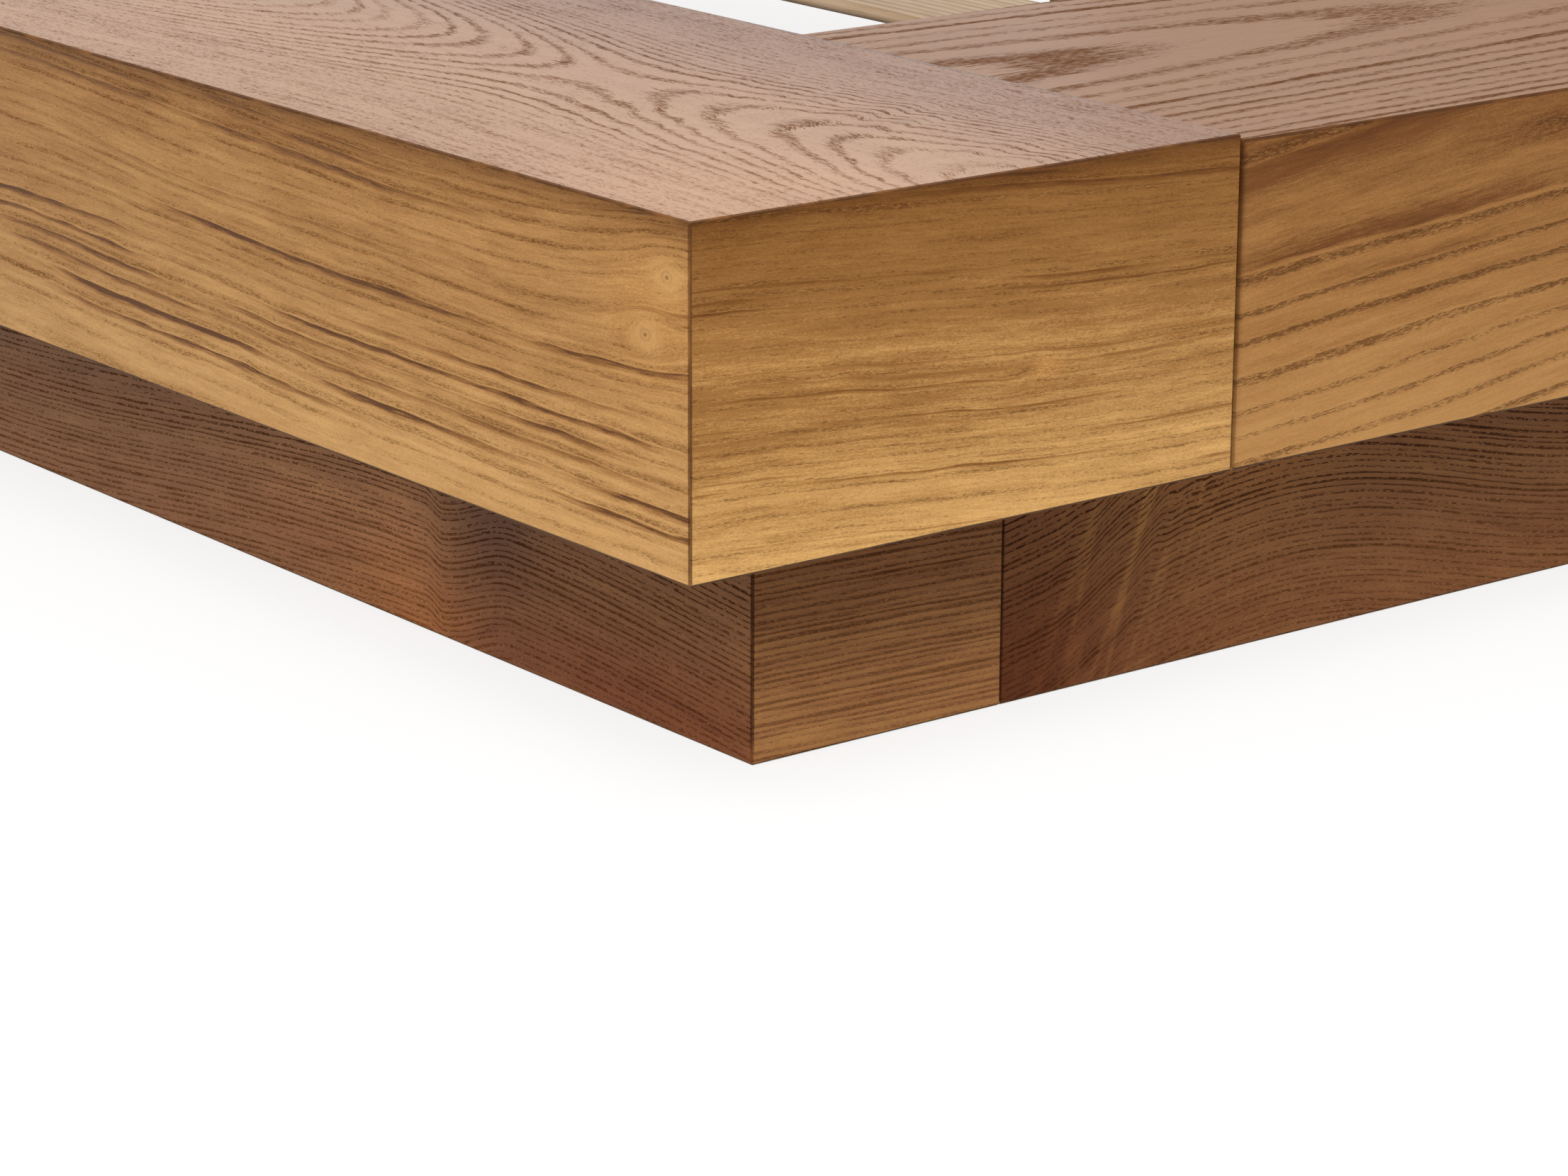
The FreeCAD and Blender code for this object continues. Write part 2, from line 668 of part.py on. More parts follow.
def make_ledgers():
    """Battens on the inner faces of the side rails that carry the outer ends of the slats."""
    inside = f"{WELL_X} - Dims.ledger_width"
    blank = block(
        (inside, WELL_X),
        (f"{WELL_FOOT_Y} + Dims.ledger_end_gap", f"{WELL_HEAD_Y} - Dims.ledger_end_gap"),
        (f"{SLAT_BOTTOM} - Dims.ledger_height", SLAT_BOTTOM),
    )
    places = ledger_screw_places()
    ledger = drilled(blank, [screw_hole("X", inside, WELL_X, y, z) for y, z in places])
    length = "Dims.ledger_width + Dims.screw_bite"
    screws = [wood_screw("X", "-", inside, length, y, z) for y, z in places]
    node("ledgers", grouped(*with_mirrored([ledger])))
    node("ledger_screws", grouped(*with_mirrored(screws)))


def hanger_screw_places():
    reach = "(Dims.beam_width / 2 + Dims.hanger_clearance + Dims.hanger_steel + Dims.hanger_wing / 2)"
    z = f"({BEAM_BOTTOM} + {SLAT_BOTTOM}) / 2"
    return [(f"-{reach}", z), (reach, z)]


def beam_hanger(plate, stirrup):
    """Steel stirrup: a back plate on the rail, a seat below the beam end and a cheek on each side."""
    steel = "Dims.hanger_steel"
    half = "(Dims.beam_width / 2 + Dims.hanger_clearance)"
    cheek = f"({half} + {steel})"
    floor = f"{BEAM_BOTTOM} - {steel}"
    back = block((f"-({cheek} + Dims.hanger_wing)", f"{cheek} + Dims.hanger_wing"), plate, (floor, SLAT_BOTTOM))
    seat = block((f"-{cheek}", cheek), stirrup, (floor, BEAM_BOTTOM))
    cheeks = [
        block((half, cheek), stirrup, (floor, SLAT_BOTTOM)),
        block((f"-{cheek}", f"-{half}"), stirrup, (floor, SLAT_BOTTOM)),
    ]
    holes = [screw_hole("Y", *plate, x, z) for x, z in hanger_screw_places()]
    return drilled(fused(back, seat, *cheeks), holes)


def make_centre_beam():
    steel = "Dims.hanger_steel"
    foot_plate = (WELL_FOOT_Y, f"{WELL_FOOT_Y} + {steel}")
    head_plate = (f"{WELL_HEAD_Y} - {steel}", WELL_HEAD_Y)
    foot_stirrup = (foot_plate[1], f"{foot_plate[1]} + Dims.hanger_depth")
    head_stirrup = (f"{head_plate[0]} - Dims.hanger_depth", head_plate[0])
    node("beam_hangers", grouped(beam_hanger(foot_plate, foot_stirrup), beam_hanger(head_plate, head_stirrup)))

    length = f"{steel} + Dims.screw_bite"
    screws = [wood_screw("Y", "+", foot_plate[1], length, x, z) for x, z in hanger_screw_places()]
    screws += [wood_screw("Y", "-", head_plate[0], length, x, z) for x, z in hanger_screw_places()]
    node("hanger_screws", grouped(*screws))

    blank = block(
        ("-Dims.beam_width / 2", "Dims.beam_width / 2"),
        (foot_plate[1], head_plate[0]),
        (BEAM_BOTTOM, SLAT_BOTTOM),
    )
    holes = []
    for y in leg_places():
        holes.append(rod("Z", f"Dims.leg_bolt_head_radius + {HOLE}", leg_bolt_seat(), SLAT_BOTTOM, "0", y))
        holes.append(rod("Z", f"Dims.leg_bolt_radius + {HOLE}", BEAM_BOTTOM, leg_bolt_seat(), "0", y))
    node("centre_beam", drilled(blank, holes))


def leg_places():
    return [f"{WELL_MIDDLE_Y} - Dims.leg_pitch", WELL_MIDDLE_Y, f"{WELL_MIDDLE_Y} + Dims.leg_pitch"]


def leg_bolt_seat():
    return f"{SLAT_BOTTOM} - Dims.leg_bolt_head_height"


def centre_leg(y):
    """Square post, bored from below for the insert and the stem and from above for its bolt."""
    half = "Dims.leg_size / 2"
    blank = block((f"-{half}", half), (f"{y} - {half}", f"{y} + {half}"), (LEG_BOTTOM, BEAM_BOTTOM))
    bore = "Dims.stem_radius + Dims.insert_wall"
    insert_bore = rod("Z", bore, LEG_BOTTOM, f"{LEG_BOTTOM} + Dims.insert_length", "0", y)
    stem_top = "Dims.foot_height + Dims.stem_length + Dims.foot_travel"
    stem_bore_top = f"{stem_top} + Dims.insert_wall"
    stem_bore = rod("Z", "Dims.stem_radius + Dims.stem_bore_gap", LEG_BOTTOM, stem_bore_top, "0", y)
    bolt_bore = rod(
        "Z", f"Dims.leg_bolt_radius + {HOLE}", f"{BEAM_BOTTOM} - Dims.leg_bolt_bite", BEAM_BOTTOM, "0", y)
    return drilled(blank, [fused(insert_bore, stem_bore), bolt_bore])


def leg_insert(y):
    """Flanged threaded sleeve in the bottom of a leg."""
    flange_bottom = f"{LEG_BOTTOM} - Dims.insert_flange_thickness"
    top = f"{LEG_BOTTOM} + Dims.insert_length"
    sleeve = rod("Z", "Dims.stem_radius + Dims.insert_wall", flange_bottom, top, "0", y)
    flange = rod("Z", "Dims.insert_flange", flange_bottom, LEG_BOTTOM, "0", y)
    bore = rod("Z", f"Dims.stem_radius + {HOLE}", flange_bottom, top, "0", y)
    return drilled(fused(sleeve, flange), [bore])


def levelling_foot(y):
    """Turned foot: a wide pad with a rounded-over rim and a threaded stem."""
    body = DOC.addObject("PartDesign::Body", "Foot")
    sketch = sketch_on(body, "XZ_Plane")
    top = "Dims.foot_height + Dims.stem_length"
    corners = [
        ("0", "0"),
        ("Dims.foot_radius", "0"),
        ("Dims.foot_radius", "Dims.foot_height / 2"),
        ("Dims.foot_radius - Dims.stem_radius", "Dims.foot_height"),
        ("Dims.stem_radius", "Dims.foot_height"),
        ("Dims.stem_radius", top),
        ("0", top),
    ]
    closed_outline(sketch, corners)
    turning = body.newObject("PartDesign::Revolution", "Turning")
    turning.Profile = sketch
    turning.ReferenceAxis = (sketch, ["V_Axis"])
    turning.Angle = 360
    bind_base(body, "0", y, "0")
    return body


def make_centre_legs():
    places = leg_places()
    bolt_length = "Dims.beam_height - Dims.leg_bolt_head_height + Dims.leg_bolt_bite"
    bolt_sizes = ("Dims.leg_bolt_radius", "Dims.leg_bolt_head_radius", "Dims.leg_bolt_head_height")
    bolts = [headed_pin("Z", "+", leg_bolt_seat(), bolt_length, *bolt_sizes, "0", y) for y in places]
    node("centre_legs", grouped(*[centre_leg(y) for y in places]))
    node("leg_bolts", grouped(*bolts))
    node("leg_inserts", grouped(*[leg_insert(y) for y in places]))
    for name, y in zip(("front", "middle", "rear"), places):
        node(f"levelling_foot_{name}", levelling_foot(y))


# Slat mats

def slat_row():
    """All the slats of the right-hand mat, as separate solids."""
    body = DOC.addObject("PartDesign::Body", "Slats")
    sketch = sketch_on(body, "YZ_Plane")
    slot_outline(sketch, "Dims.slat_width", "Dims.slat_thickness")
    slat = padded(body, sketch, f"{WELL_X} - 2 * Dims.slat_end_gap")
    row_of(body, slat, sketch, "Dims.slat_count", SLAT_PITCH)
    bind_base(body, "Dims.slat_end_gap", FIRST_SLAT_Y, f"{SLAT_TOP} - Dims.slat_thickness / 2")
    return body


def strap_places():
    return ["Dims.strap_inset", f"{WELL_X} - Dims.strap_inset"]


def strap(x):
    half = "Dims.strap_width / 2"
    reach = "(Dims.slat_width / 2 - Dims.strap_overhang)"
    last_y = f"({FIRST_SLAT_Y} + {SLAT_PITCH} * (Dims.slat_count - 1))"
    return block(
        (f"{x} - {half}", f"{x} + {half}"),
        (f"{FIRST_SLAT_Y} - {reach}", f"{last_y} + {reach}"),
        (f"{SLAT_BOTTOM} - Dims.strap_thickness", SLAT_BOTTOM),
    )


def staple_row(x):
    """One staple under each slat: a crown on the strap and two legs driven up into the wood."""
    body = DOC.addObject("PartDesign::Body", "Staples")
    sketch = sketch_on(body, "YZ_Plane")
    wire = "Dims.staple_wire"
    half = "Dims.staple_width / 2"
    tip = "Dims.strap_thickness + Dims.staple_bite"
    corners = [
        (f"-{half}", f"-{wire}"),
        (half, f"-{wire}"),
        (half, tip),
        (f"{half} - {wire}", tip),
        (f"{half} - {wire}", "0"),
        (f"-({half} - {wire})", "0"),
        (f"-({half} - {wire})", tip),
        (f"-{half}", tip),
    ]
    closed_outline(sketch, corners)
    staple = padded(body, sketch, wire, centred=True)
    row_of(body, staple, sketch, "Dims.slat_count", SLAT_PITCH)
    bind_base(body, x, FIRST_SLAT_Y, f"{SLAT_BOTTOM} - Dims.strap_thickness")
    return body


def make_slat_mats():
    slats = slat_row()
    straps = grouped(*[strap(x) for x in strap_places()])
    staples = grouped(*[staple_row(x) for x in strap_places()])
    for name, piece in (("slats", slats), ("straps", straps), ("staples", staples)):
        node(f"{name}_right", piece)
        node(f"{name}_left", mirrored(piece))


# Headboard

def lean_at(height):
    return f"Dims.headboard_rake * ({height}) / Dims.headboard_height"


def leaning_board(x, depth, height):
    """A board of the headboard. Depth is measured from its front face, height from the rail's top."""
    def run(level):
        return tuple(f"{HEADBOARD_Y} + {lean_at(level)} + {edge}" for edge in depth)

    low, high = height
    ends = (f"{RAIL_TOP} + {low}", f"{RAIL_TOP} + {high}")
    return tapered_block("Z", *ends, (x, run(low)), (x, run(high)))


def gusset_places():
    return ["-Dims.gusset_pitch", "0", "Dims.gusset_pitch"]


def headboard_screw_line(x):
    return x, f"{RAIL_TOP} + Dims.headboard_screw_height"


def headboard_back_at_screw():
    return f"({HEADBOARD_Y} + {lean_at('Dims.headboard_screw_height')} + {HEADBOARD_DEPTH})"


def headboard_screw_reach():
    return f"({headboard_back_at_screw()} - Dims.headboard_skin - Dims.screw_bite)"


def make_headboard():
    """Two veneered skins on a batten core, lipped along the top and both ends."""
    lipping = "Dims.headboard_lipping"
    skin = "Dims.headboard_skin"
    batten = "Dims.headboard_batten"
    board_x = (f"-({HEADBOARD_X} - {lipping})", f"{HEADBOARD_X} - {lipping}")
    board_height = ("0", f"Dims.headboard_height - {lipping}")
    core_depth = (skin, f"{skin} + Dims.headboard_core")
    back_depth = (core_depth[1], HEADBOARD_DEPTH)
    stile_height = (batten, f"{board_height[1]} - {batten}")
    screw_holes = [
        screw_hole("Y", headboard_screw_reach(), GUSSET_BACK_Y, *headboard_screw_line(x)) for x in gusset_places()
    ]

    battens = [
        leaning_board(board_x, core_depth, ("0", batten)),
        leaning_board(board_x, core_depth, (stile_height[1], board_height[1])),
        leaning_board((board_x[0], f"{board_x[0]} + {batten}"), core_depth, stile_height),
        leaning_board((f"{board_x[1]} - {batten}", board_x[1]), core_depth, stile_height),
    ]
    for x in gusset_places():
        stile = leaning_board((f"{x} - {batten} / 2", f"{x} + {batten} / 2"), core_depth, stile_height)
        battens.append(stile)
    node("headboard_front", leaning_board(board_x, ("0", skin), board_height))
    node("headboard_core", drilled(grouped(*battens), screw_holes))
    node("headboard_back", drilled(leaning_board(board_x, back_depth, board_height), screw_holes))

    whole_x = (f"-{HEADBOARD_X}", HEADBOARD_X)
    whole_depth = ("0", HEADBOARD_DEPTH)
    top_lipping = leaning_board(whole_x, whole_depth, (board_height[1], "Dims.headboard_height"))
    end_lipping = leaning_board((board_x[1], HEADBOARD_X), whole_depth, board_height)
    node("headboard_lippings", grouped(top_lipping, *with_mirrored([end_lipping])))
    make_gussets(screw_holes)


def gusset_dowel_places():
    near = f"{HEADBOARD_Y} + {HEADBOARD_DEPTH} + Dims.gusset_dowel_inset"
    far = f"{GUSSET_BACK_Y} - Dims.gusset_dowel_inset"
    return [(x, y) for x in gusset_places() for y in (near, far)]


def gusset_dowel_span():
    return f"{RAIL_TOP} - Dims.rail_board", f"{RAIL_TOP} + Dims.rail_board"


def make_gusset_dowels():
    return [dowel("Z", *gusset_dowel_span(), x, y) for x, y in gusset_dowel_places()]


def gusset_dowel_holes():
    return [dowel_hole("Z", *gusset_dowel_span(), x, y) for x, y in gusset_dowel_places()]


def make_gussets(screw_holes):
    """Posts on the head rail that the headboard leans on, each with one long screw from behind."""
    half = "Dims.gusset_board / 2"
    foot = f"{HEADBOARD_Y} + {HEADBOARD_DEPTH}"
    top = f"{foot} + {lean_at('Dims.gusset_height')}"
    gussets = []
    screws = []
    for x in gusset_places():
        width = (f"{x} - {half}", f"{x} + {half}")
        ends = (RAIL_TOP, f"{RAIL_TOP} + Dims.gusset_height")
        gussets.append(tapered_block("Z", *ends, (width, (foot, GUSSET_BACK_Y)), (width, (top, GUSSET_BACK_Y))))
        length = f"{GUSSET_BACK_Y} - {headboard_screw_reach()}"
        screws.append(wood_screw("Y", "+", GUSSET_BACK_Y, length, *headboard_screw_line(x)))
    node("headboard_gussets", drilled(grouped(*gussets), screw_holes + gusset_dowel_holes()))
    node("headboard_screws", grouped(*screws))


def check_and_export():
    DOC.recompute()
    for thing in DOC.Objects:
        if "Invalid" in thing.State or "Error" in thing.State:
            raise RuntimeError(f"{thing.Name} {thing.Label} did not compute: {thing.State}")
    os.makedirs("parts", exist_ok=True)
    for thing in NODES:
        shape = thing.Shape
        if shape.isNull() or not shape.isValid() or not shape.Solids:
            raise RuntimeError(f"{thing.Label} has no valid solid")
        shape.exportStep(f"parts/{thing.Label}.step")
    print(f"{len(NODES)} pieces written")


fill_sheet()
make_rails()
make_plinth()
make_corner_brackets()
make_ledgers()
make_centre_beam()
make_centre_legs()
make_slat_mats()
make_headboard()
check_and_export()
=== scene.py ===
import math
from dataclasses import dataclass

import bpy
from mathutils import Euler, Matrix, Vector


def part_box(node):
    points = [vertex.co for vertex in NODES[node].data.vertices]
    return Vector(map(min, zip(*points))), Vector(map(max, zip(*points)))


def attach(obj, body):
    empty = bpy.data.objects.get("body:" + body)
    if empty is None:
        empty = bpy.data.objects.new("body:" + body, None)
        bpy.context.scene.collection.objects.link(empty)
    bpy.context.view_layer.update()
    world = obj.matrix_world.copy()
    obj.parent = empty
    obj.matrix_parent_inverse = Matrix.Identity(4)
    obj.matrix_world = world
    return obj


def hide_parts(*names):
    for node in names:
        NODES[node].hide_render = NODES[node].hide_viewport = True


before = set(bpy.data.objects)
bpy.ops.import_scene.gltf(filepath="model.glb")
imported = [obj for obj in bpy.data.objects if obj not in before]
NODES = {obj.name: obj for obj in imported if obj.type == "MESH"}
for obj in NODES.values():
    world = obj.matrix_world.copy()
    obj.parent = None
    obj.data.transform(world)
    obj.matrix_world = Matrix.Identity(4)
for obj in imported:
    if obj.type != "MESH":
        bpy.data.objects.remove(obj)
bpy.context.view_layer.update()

AXES = "XYZ"


def from_screen(red, green, blue):
    """Linear colour from the 0 to 255 values that a screen shows."""
    def linear(level):
        share = level / 255
        return share / 12.92 if share <= 0.04045 else ((share + 0.055) / 1.055) ** 2.4
    return linear(red), linear(green), linear(blue)


def screen_shades(*colours):
    """The same for several colours."""
    return tuple(from_screen(*colour) for colour in colours)


# Formulas as shader nodes

class Field:
    """A number that varies over a surface, so that a material reads as a formula."""

    def __init__(self, graph, socket):
        self.graph = graph
        self.socket = socket

    def __add__(self, other):
        return self.graph.math("ADD", self, other)

    def __sub__(self, other):
        return self.graph.math("SUBTRACT", self, other)

    def __rsub__(self, other):
        return self.graph.math("SUBTRACT", other, self)

    def __mul__(self, other):
        return self.graph.math("MULTIPLY", self, other)

    def __truediv__(self, other):
        return self.graph.math("DIVIDE", self, other)

    __radd__ = __add__
    __rmul__ = __mul__

    def sqrt(self):
        return self.graph.math("SQRT", self)

    def absolute(self):
        return self.graph.math("ABSOLUTE", self)

    def sine(self):
        return self.graph.math("SINE", self)

    def exponent(self):
        return self.graph.math("EXPONENT", self)

    def floor(self):
        return self.graph.math("FLOOR", self)

    def fraction(self):
        return self.graph.math("FRACT", self)

    def at_least(self, other):
        return self.graph.math("MAXIMUM", self, other)

    def at_most(self, other):
        return self.graph.math("MINIMUM", self, other)

    def rise(self, start, end):
        """0 at start and 1 at end, level beyond them and smooth between. end may be the lower one."""
        step = self.graph.add("ShaderNodeMapRange")
        step.interpolation_type = "SMOOTHSTEP"
        self.graph.put(step.inputs["Value"], self)
        self.graph.put(step.inputs["From Min"], start)
        self.graph.put(step.inputs["From Max"], end)
        return Field(self.graph, step.outputs["Result"])

    def bell(self, centre, width):
        """1 at the centre, falling smoothly to 0 about two widths away."""
        far = (self - centre) / width
        return (far * far * -1.0).exponent()


class Graph:
    """The node tree of one material."""

    def __init__(self, name):
        self.material = bpy.data.materials.new(name)
        self.material.use_nodes = True
        self.tree = self.material.node_tree
        self.shader = self.tree.nodes["Principled BSDF"]

    def add(self, kind):
        return self.tree.nodes.new(kind)

    def put(self, socket, value):
        if isinstance(value, Field):
            self.tree.links.new(value.socket, socket)
        elif isinstance(value, bpy.types.NodeSocket):
            self.tree.links.new(value, socket)
        elif isinstance(value, tuple) and len(value) == 3 and socket.type == "RGBA":
            socket.default_value = (*value, 1.0)
        else:
            socket.default_value = value

    def math(self, operation, *values):
        node = self.add("ShaderNodeMath")
        node.operation = operation
        for socket, value in zip(node.inputs, values):
            self.put(socket, value)
        return Field(self, node.outputs[0])

    def place(self):
        """The object's own coordinates in metres, by axis letter."""
        source = self.add("ShaderNodeTexCoord")
        parts = self.add("ShaderNodeSeparateXYZ")
        self.put(parts.inputs[0], source.outputs["Object"])
        return {letter: Field(self, parts.outputs[letter]) for letter in AXES}

    def normal(self):
        """The face's own normal, by axis letter."""
        geometry = self.add("ShaderNodeNewGeometry")
        parts = self.add("ShaderNodeSeparateXYZ")
        self.put(parts.inputs[0], geometry.outputs["True Normal"])
        return {letter: Field(self, parts.outputs[letter]) for letter in AXES}

    def vector(self, x, y, z):
        node = self.add("ShaderNodeCombineXYZ")
        for socket, value in zip(node.inputs, (x, y, z)):
            self.put(socket, value)
        return node.outputs[0]

    def noise(self, x, y, z, detail):
        """Smooth noise around 0, about one mark for each unit of x, y and z.

        A coordinate times 60 therefore has 60 marks in a metre.
        """
        node = self.add("ShaderNodeTexNoise")
        node.inputs["Scale"].default_value = 1.0
        node.inputs["Detail"].default_value = detail
        self.put(node.inputs["Vector"], self.vector(x, y, z))
        return Field(self, node.outputs["Fac"]) - 0.5

    def stretched(self, along, across, mark, seed, detail):
        """Noise whose marks have about the length and width in mark, in metres."""
        length, width = mark
        return self.noise(along / length, across / width, seed, detail)

    def pick(self, index, seed):
        """One random number from 0 to 1 for each whole number."""
        node = self.add("ShaderNodeTexWhiteNoise")
        node.noise_dimensions = "2D"
        self.put(node.inputs["Vector"], self.vector(index, seed, 0.0))
        return Field(self, node.outputs["Value"])

    def ramp(self, field, stops):
        """A colour for each value, blended between the stops."""
        node = self.add("ShaderNodeValToRGB")
        band = node.color_ramp
        low, high = stops[0][0], stops[-1][0]
        while len(band.elements) < len(stops):
            band.elements.new(1.0)
        for element, (value, shade) in zip(band.elements, stops):
            element.position = (value - low) / (high - low)
            element.color = (*shade, 1.0)
        self.put(node.inputs["Fac"], (field - low) / (high - low))
        return node.outputs["Color"]

    def mix(self, factor, first, second, blend="MIX"):
        node = self.add("ShaderNodeMix")
        node.data_type = "RGBA"
        node.blend_type = blend
        self.put(node.inputs["Factor"], factor)
        colours = [socket for socket in node.inputs if socket.type == "RGBA"]
        self.put(colours[0], first)
        self.put(colours[1], second)
        return [socket for socket in node.outputs if socket.type == "RGBA"][0]

    def finish(self, colour, roughness, height=None, depth=0.0, **constants):
        """Connects the shader. depth is the relief in metres for a height of 1."""
        self.put(self.shader.inputs["Base Color"], colour)
        self.put(self.shader.inputs["Roughness"], roughness)
        for name, value in constants.items():
            self.shader.inputs[name.replace("_", " ")].default_value = value
        if height is not None:
            bump = self.add("ShaderNodeBump")
            bump.inputs["Distance"].default_value = depth
            self.put(bump.inputs["Height"], height)
            self.put(self.shader.inputs["Normal"], bump.outputs["Normal"])
        return self.material


def assign(node, *materials):
    mesh = NODES[node].data
    mesh.materials.clear()
    for material in materials:
        mesh.materials.append(material)


# Wood veneer

@dataclass
class Patch:
    """A place with soft edges on a sheet of veneer, in metres."""

    along: float                       # its middle, along the grain
    across: float                      # its middle, across the grain
    length: float                      # how far it reaches along the grain
    spread: float                      # how far it reaches across
    height: float = 0.0                # how high the fibres rise or fold there
    tint: tuple = (1.0, 1.0, 1.0)      # what the colour is multiplied by there, for stain, painted shade and painted highlights

    def cover(self, u, v):
        """1 in the middle, falling smoothly to 0 around it."""
        far_along = (u - self.along) / self.length
        far_across = (v - self.across) / self.spread
        return ((far_along * far_along + far_across * far_across) * -1.0).exponent()


@dataclass
class Slide:
    """A stretch along the grain where all the fibres drop."""

    start: float
    end: float
    drop: float


@dataclass
class Saddle:
    """A bend in the depth of the log's heart: deepest in the middle, and shallower both ways."""

    middle: float
    slope: float
    roundness: float


@dataclass
class Knot:
    """A small knot that the fibres bend around."""

    along: float
    across: float
    size: float


@dataclass
class Cut:
    """How one sheet of veneer was sliced from the log, and how it came out. Lengths are in metres."""

    seed: float                        # a number of its own for each sheet
    heart: float                       # where the heart of the log lies, across the grain
    lift: float                        # how deep the heart lies behind the face
    pitch: float                       # thickness of a growth ring
    tilt: float = 0.0                  # slope of the fibres across the sheet
    origin: float = 0.0                # place along the grain that tilt and taper are measured from
    taper: float = 0.0                 # how fast the heart deepens along the grain
    saddle: Saddle = None              # a bend in the heart's depth
    skew: float = 1.0                  # spread of the rings on the heart's low side
    sway: float = 0.006                # slow wander of the fibres
    ripple: float = 0.0008             # small waves in the fibres
    swells: tuple = ()                 # patches where the fibres rise
    slides: tuple = ()                 # stretches where they drop
    curls: tuple = ()                  # patches of tight folds
    fold: float = 0.014                # distance between folds
    lean: float = 0.0                  # how far folds and drops lean along the grain for each metre across
    flash: float = 0.0                 # how brightly the folds catch the light
    knots: tuple = ()
    uneven: float = 1.2                # how much the ring thickness varies
    feather: float = 0.0012            # how far the fibres fray a ring's edge
    band: float = 0.35                 # share of each ring that is early wood, with large pores
    blur: float = 0.0                  # how much the rings blend into each other far from the heart
    bold: float = 1.0                  # how full of pores the early wood is
    scatter: float = 0.0               # pores in the rest of the ring
    pore_size: tuple = (0.006, 0.0004)  # length and width
    pore_depth: float = 0.7            # how dark the pores are
    painted_glint: float = 0.3                 # how bright the painted glints of lacquer beside the pores are
    haze: float = 0.15                 # how brown the early wood is
    streak: float = 0.3                # how dark the late wood is
    figure: float = 1.0                # how lively the fibres are
    top_shade: float = 0.0             # painted shade: how much darker the colour is at the top than at the bottom
    low_shade: float = 0.0             # painted shade: how much darker the colour is near the floor
    low_pores: float = 1.0             # share of the pores' darkness that is left near the floor: paler pores there are painted light
    washes: tuple = ()                 # patches of stain, painted shade and painted highlights
    gloss: float = 0.1
    shades: tuple = screen_shades((223, 172, 108), (189, 138, 80), (151, 101, 49), (98, 58, 22))


# Length and width of the marks in the wood, in metres
SWAY_MARK = (0.28, 0.09)
RIPPLE_MARK = (0.035, 0.02)
FEATHER_MARK = (0.025, 0.0012)
GRIT_MARK = (0.0014, 0.0004)
FINE_MARK = (0.014, 0.0008)
COARSE_MARK = (0.05, 0.005)
BROAD_MARK = (0.5, 0.03)
FADE_MARK = (0.15, 1.0)
FOLD_WIDTH = 0.15


def fibre_line(g, cut, u, v):
    """The distance across the grain, bent the way the fibres run, and how sharply they are folded.

    u is the distance along the grain and v across it. Each value of the bent distance is one fibre.
    """
    w = v + (u - cut.origin) * cut.tilt
    w = w + g.stretched(u, v, SWAY_MARK, cut.seed, detail=1.0) * cut.sway
    w = w + g.stretched(u, v, RIPPLE_MARK, cut.seed + 5.7, detail=1.0) * cut.ripple
    leaning = u - v * cut.lean if cut.lean else u
    for slide in cut.slides:
        w = w + leaning.rise(slide.start, slide.end) * slide.drop
    for swell in cut.swells:
        w = w - swell.cover(u, v) * swell.height
    crease = None
    for curl in cut.curls:
        folded = curl.cover(leaning, v)
        wave = g.stretched(leaning, v, (cut.fold, FOLD_WIDTH), cut.seed + 7.9, detail=0.0).absolute()
        w = w - wave * folded * curl.height
        sharp = wave.rise(0.10, 0.0) * folded
        crease = sharp if crease is None else crease + sharp
    for knot in cut.knots:
        around = Patch(knot.along, knot.across, length=knot.size * 3.2, spread=knot.size * 1.7)
        w = w - around.cover(u, v) * (v - knot.across) * 0.8
    return w, crease


def growth_rings(g, cut, u, w):
    """Each ring's number, the place in it from early wood at 0 to late wood at 1, and how flat the cut is."""
    side = w - cut.heart
    if cut.skew != 1.0:
        side = side.at_least(0.0) + side.at_most(0.0) * cut.skew
    depth = (u - cut.origin) * cut.taper + cut.lift
    if cut.saddle:
        away = u - cut.saddle.middle
        roundness = cut.saddle.roundness
        bend = (away * away + roundness * roundness).sqrt() - roundness
        depth = depth - bend * cut.saddle.slope
    ring = (side * side + depth * depth).sqrt()
    phase = (ring + g.stretched(u, w, FEATHER_MARK, cut.seed + 2.3, detail=0.0) * cut.feather) / cut.pitch
    phase = phase + g.noise(phase * 0.4, 0.0, cut.seed + 8.2, detail=0.0) * cut.uneven
    return phase.floor(), phase.fraction(), depth / ring


def pores(g, cut, u, w, plenty):
    """Open pores: dashes in narrow lanes along the fibres. Also painted glints of lacquer between them."""
    length, width = cut.pore_size
    lane = w / width
    middle = lane.fraction() - 0.5
    limit = middle * middle * 1.2 + (0.22 - cut.scatter) - plenty
    dash = g.noise(u / length, g.pick(lane.floor(), cut.seed) * 70.0, cut.seed + 1.7, detail=1.0)
    pore = (dash - limit).rise(0.0, 0.14)
    painted_glint = (dash * -1.0 - limit - 0.08).rise(0.0, 0.14)
    return pore, painted_glint


def edge_distance(place, panel, *letters):
    """How far a point of a panel is from the panel's nearest edge."""
    low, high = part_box(panel)
    nearest = None
    for letter in letters:
        axis = AXES.index(letter)
        for gap in (place[letter] - low[axis], high[axis] - place[letter]):
            nearest = gap if nearest is None else nearest.at_most(gap)
    return nearest


def eased_edge(g):
    """1 on the narrow slope along an edge, 0 on the flat."""
    sides = [side.absolute() for side in g.normal().values()]
    return sides[0].at_least(sides[1]).at_least(sides[2]).rise(0.95, 0.85)


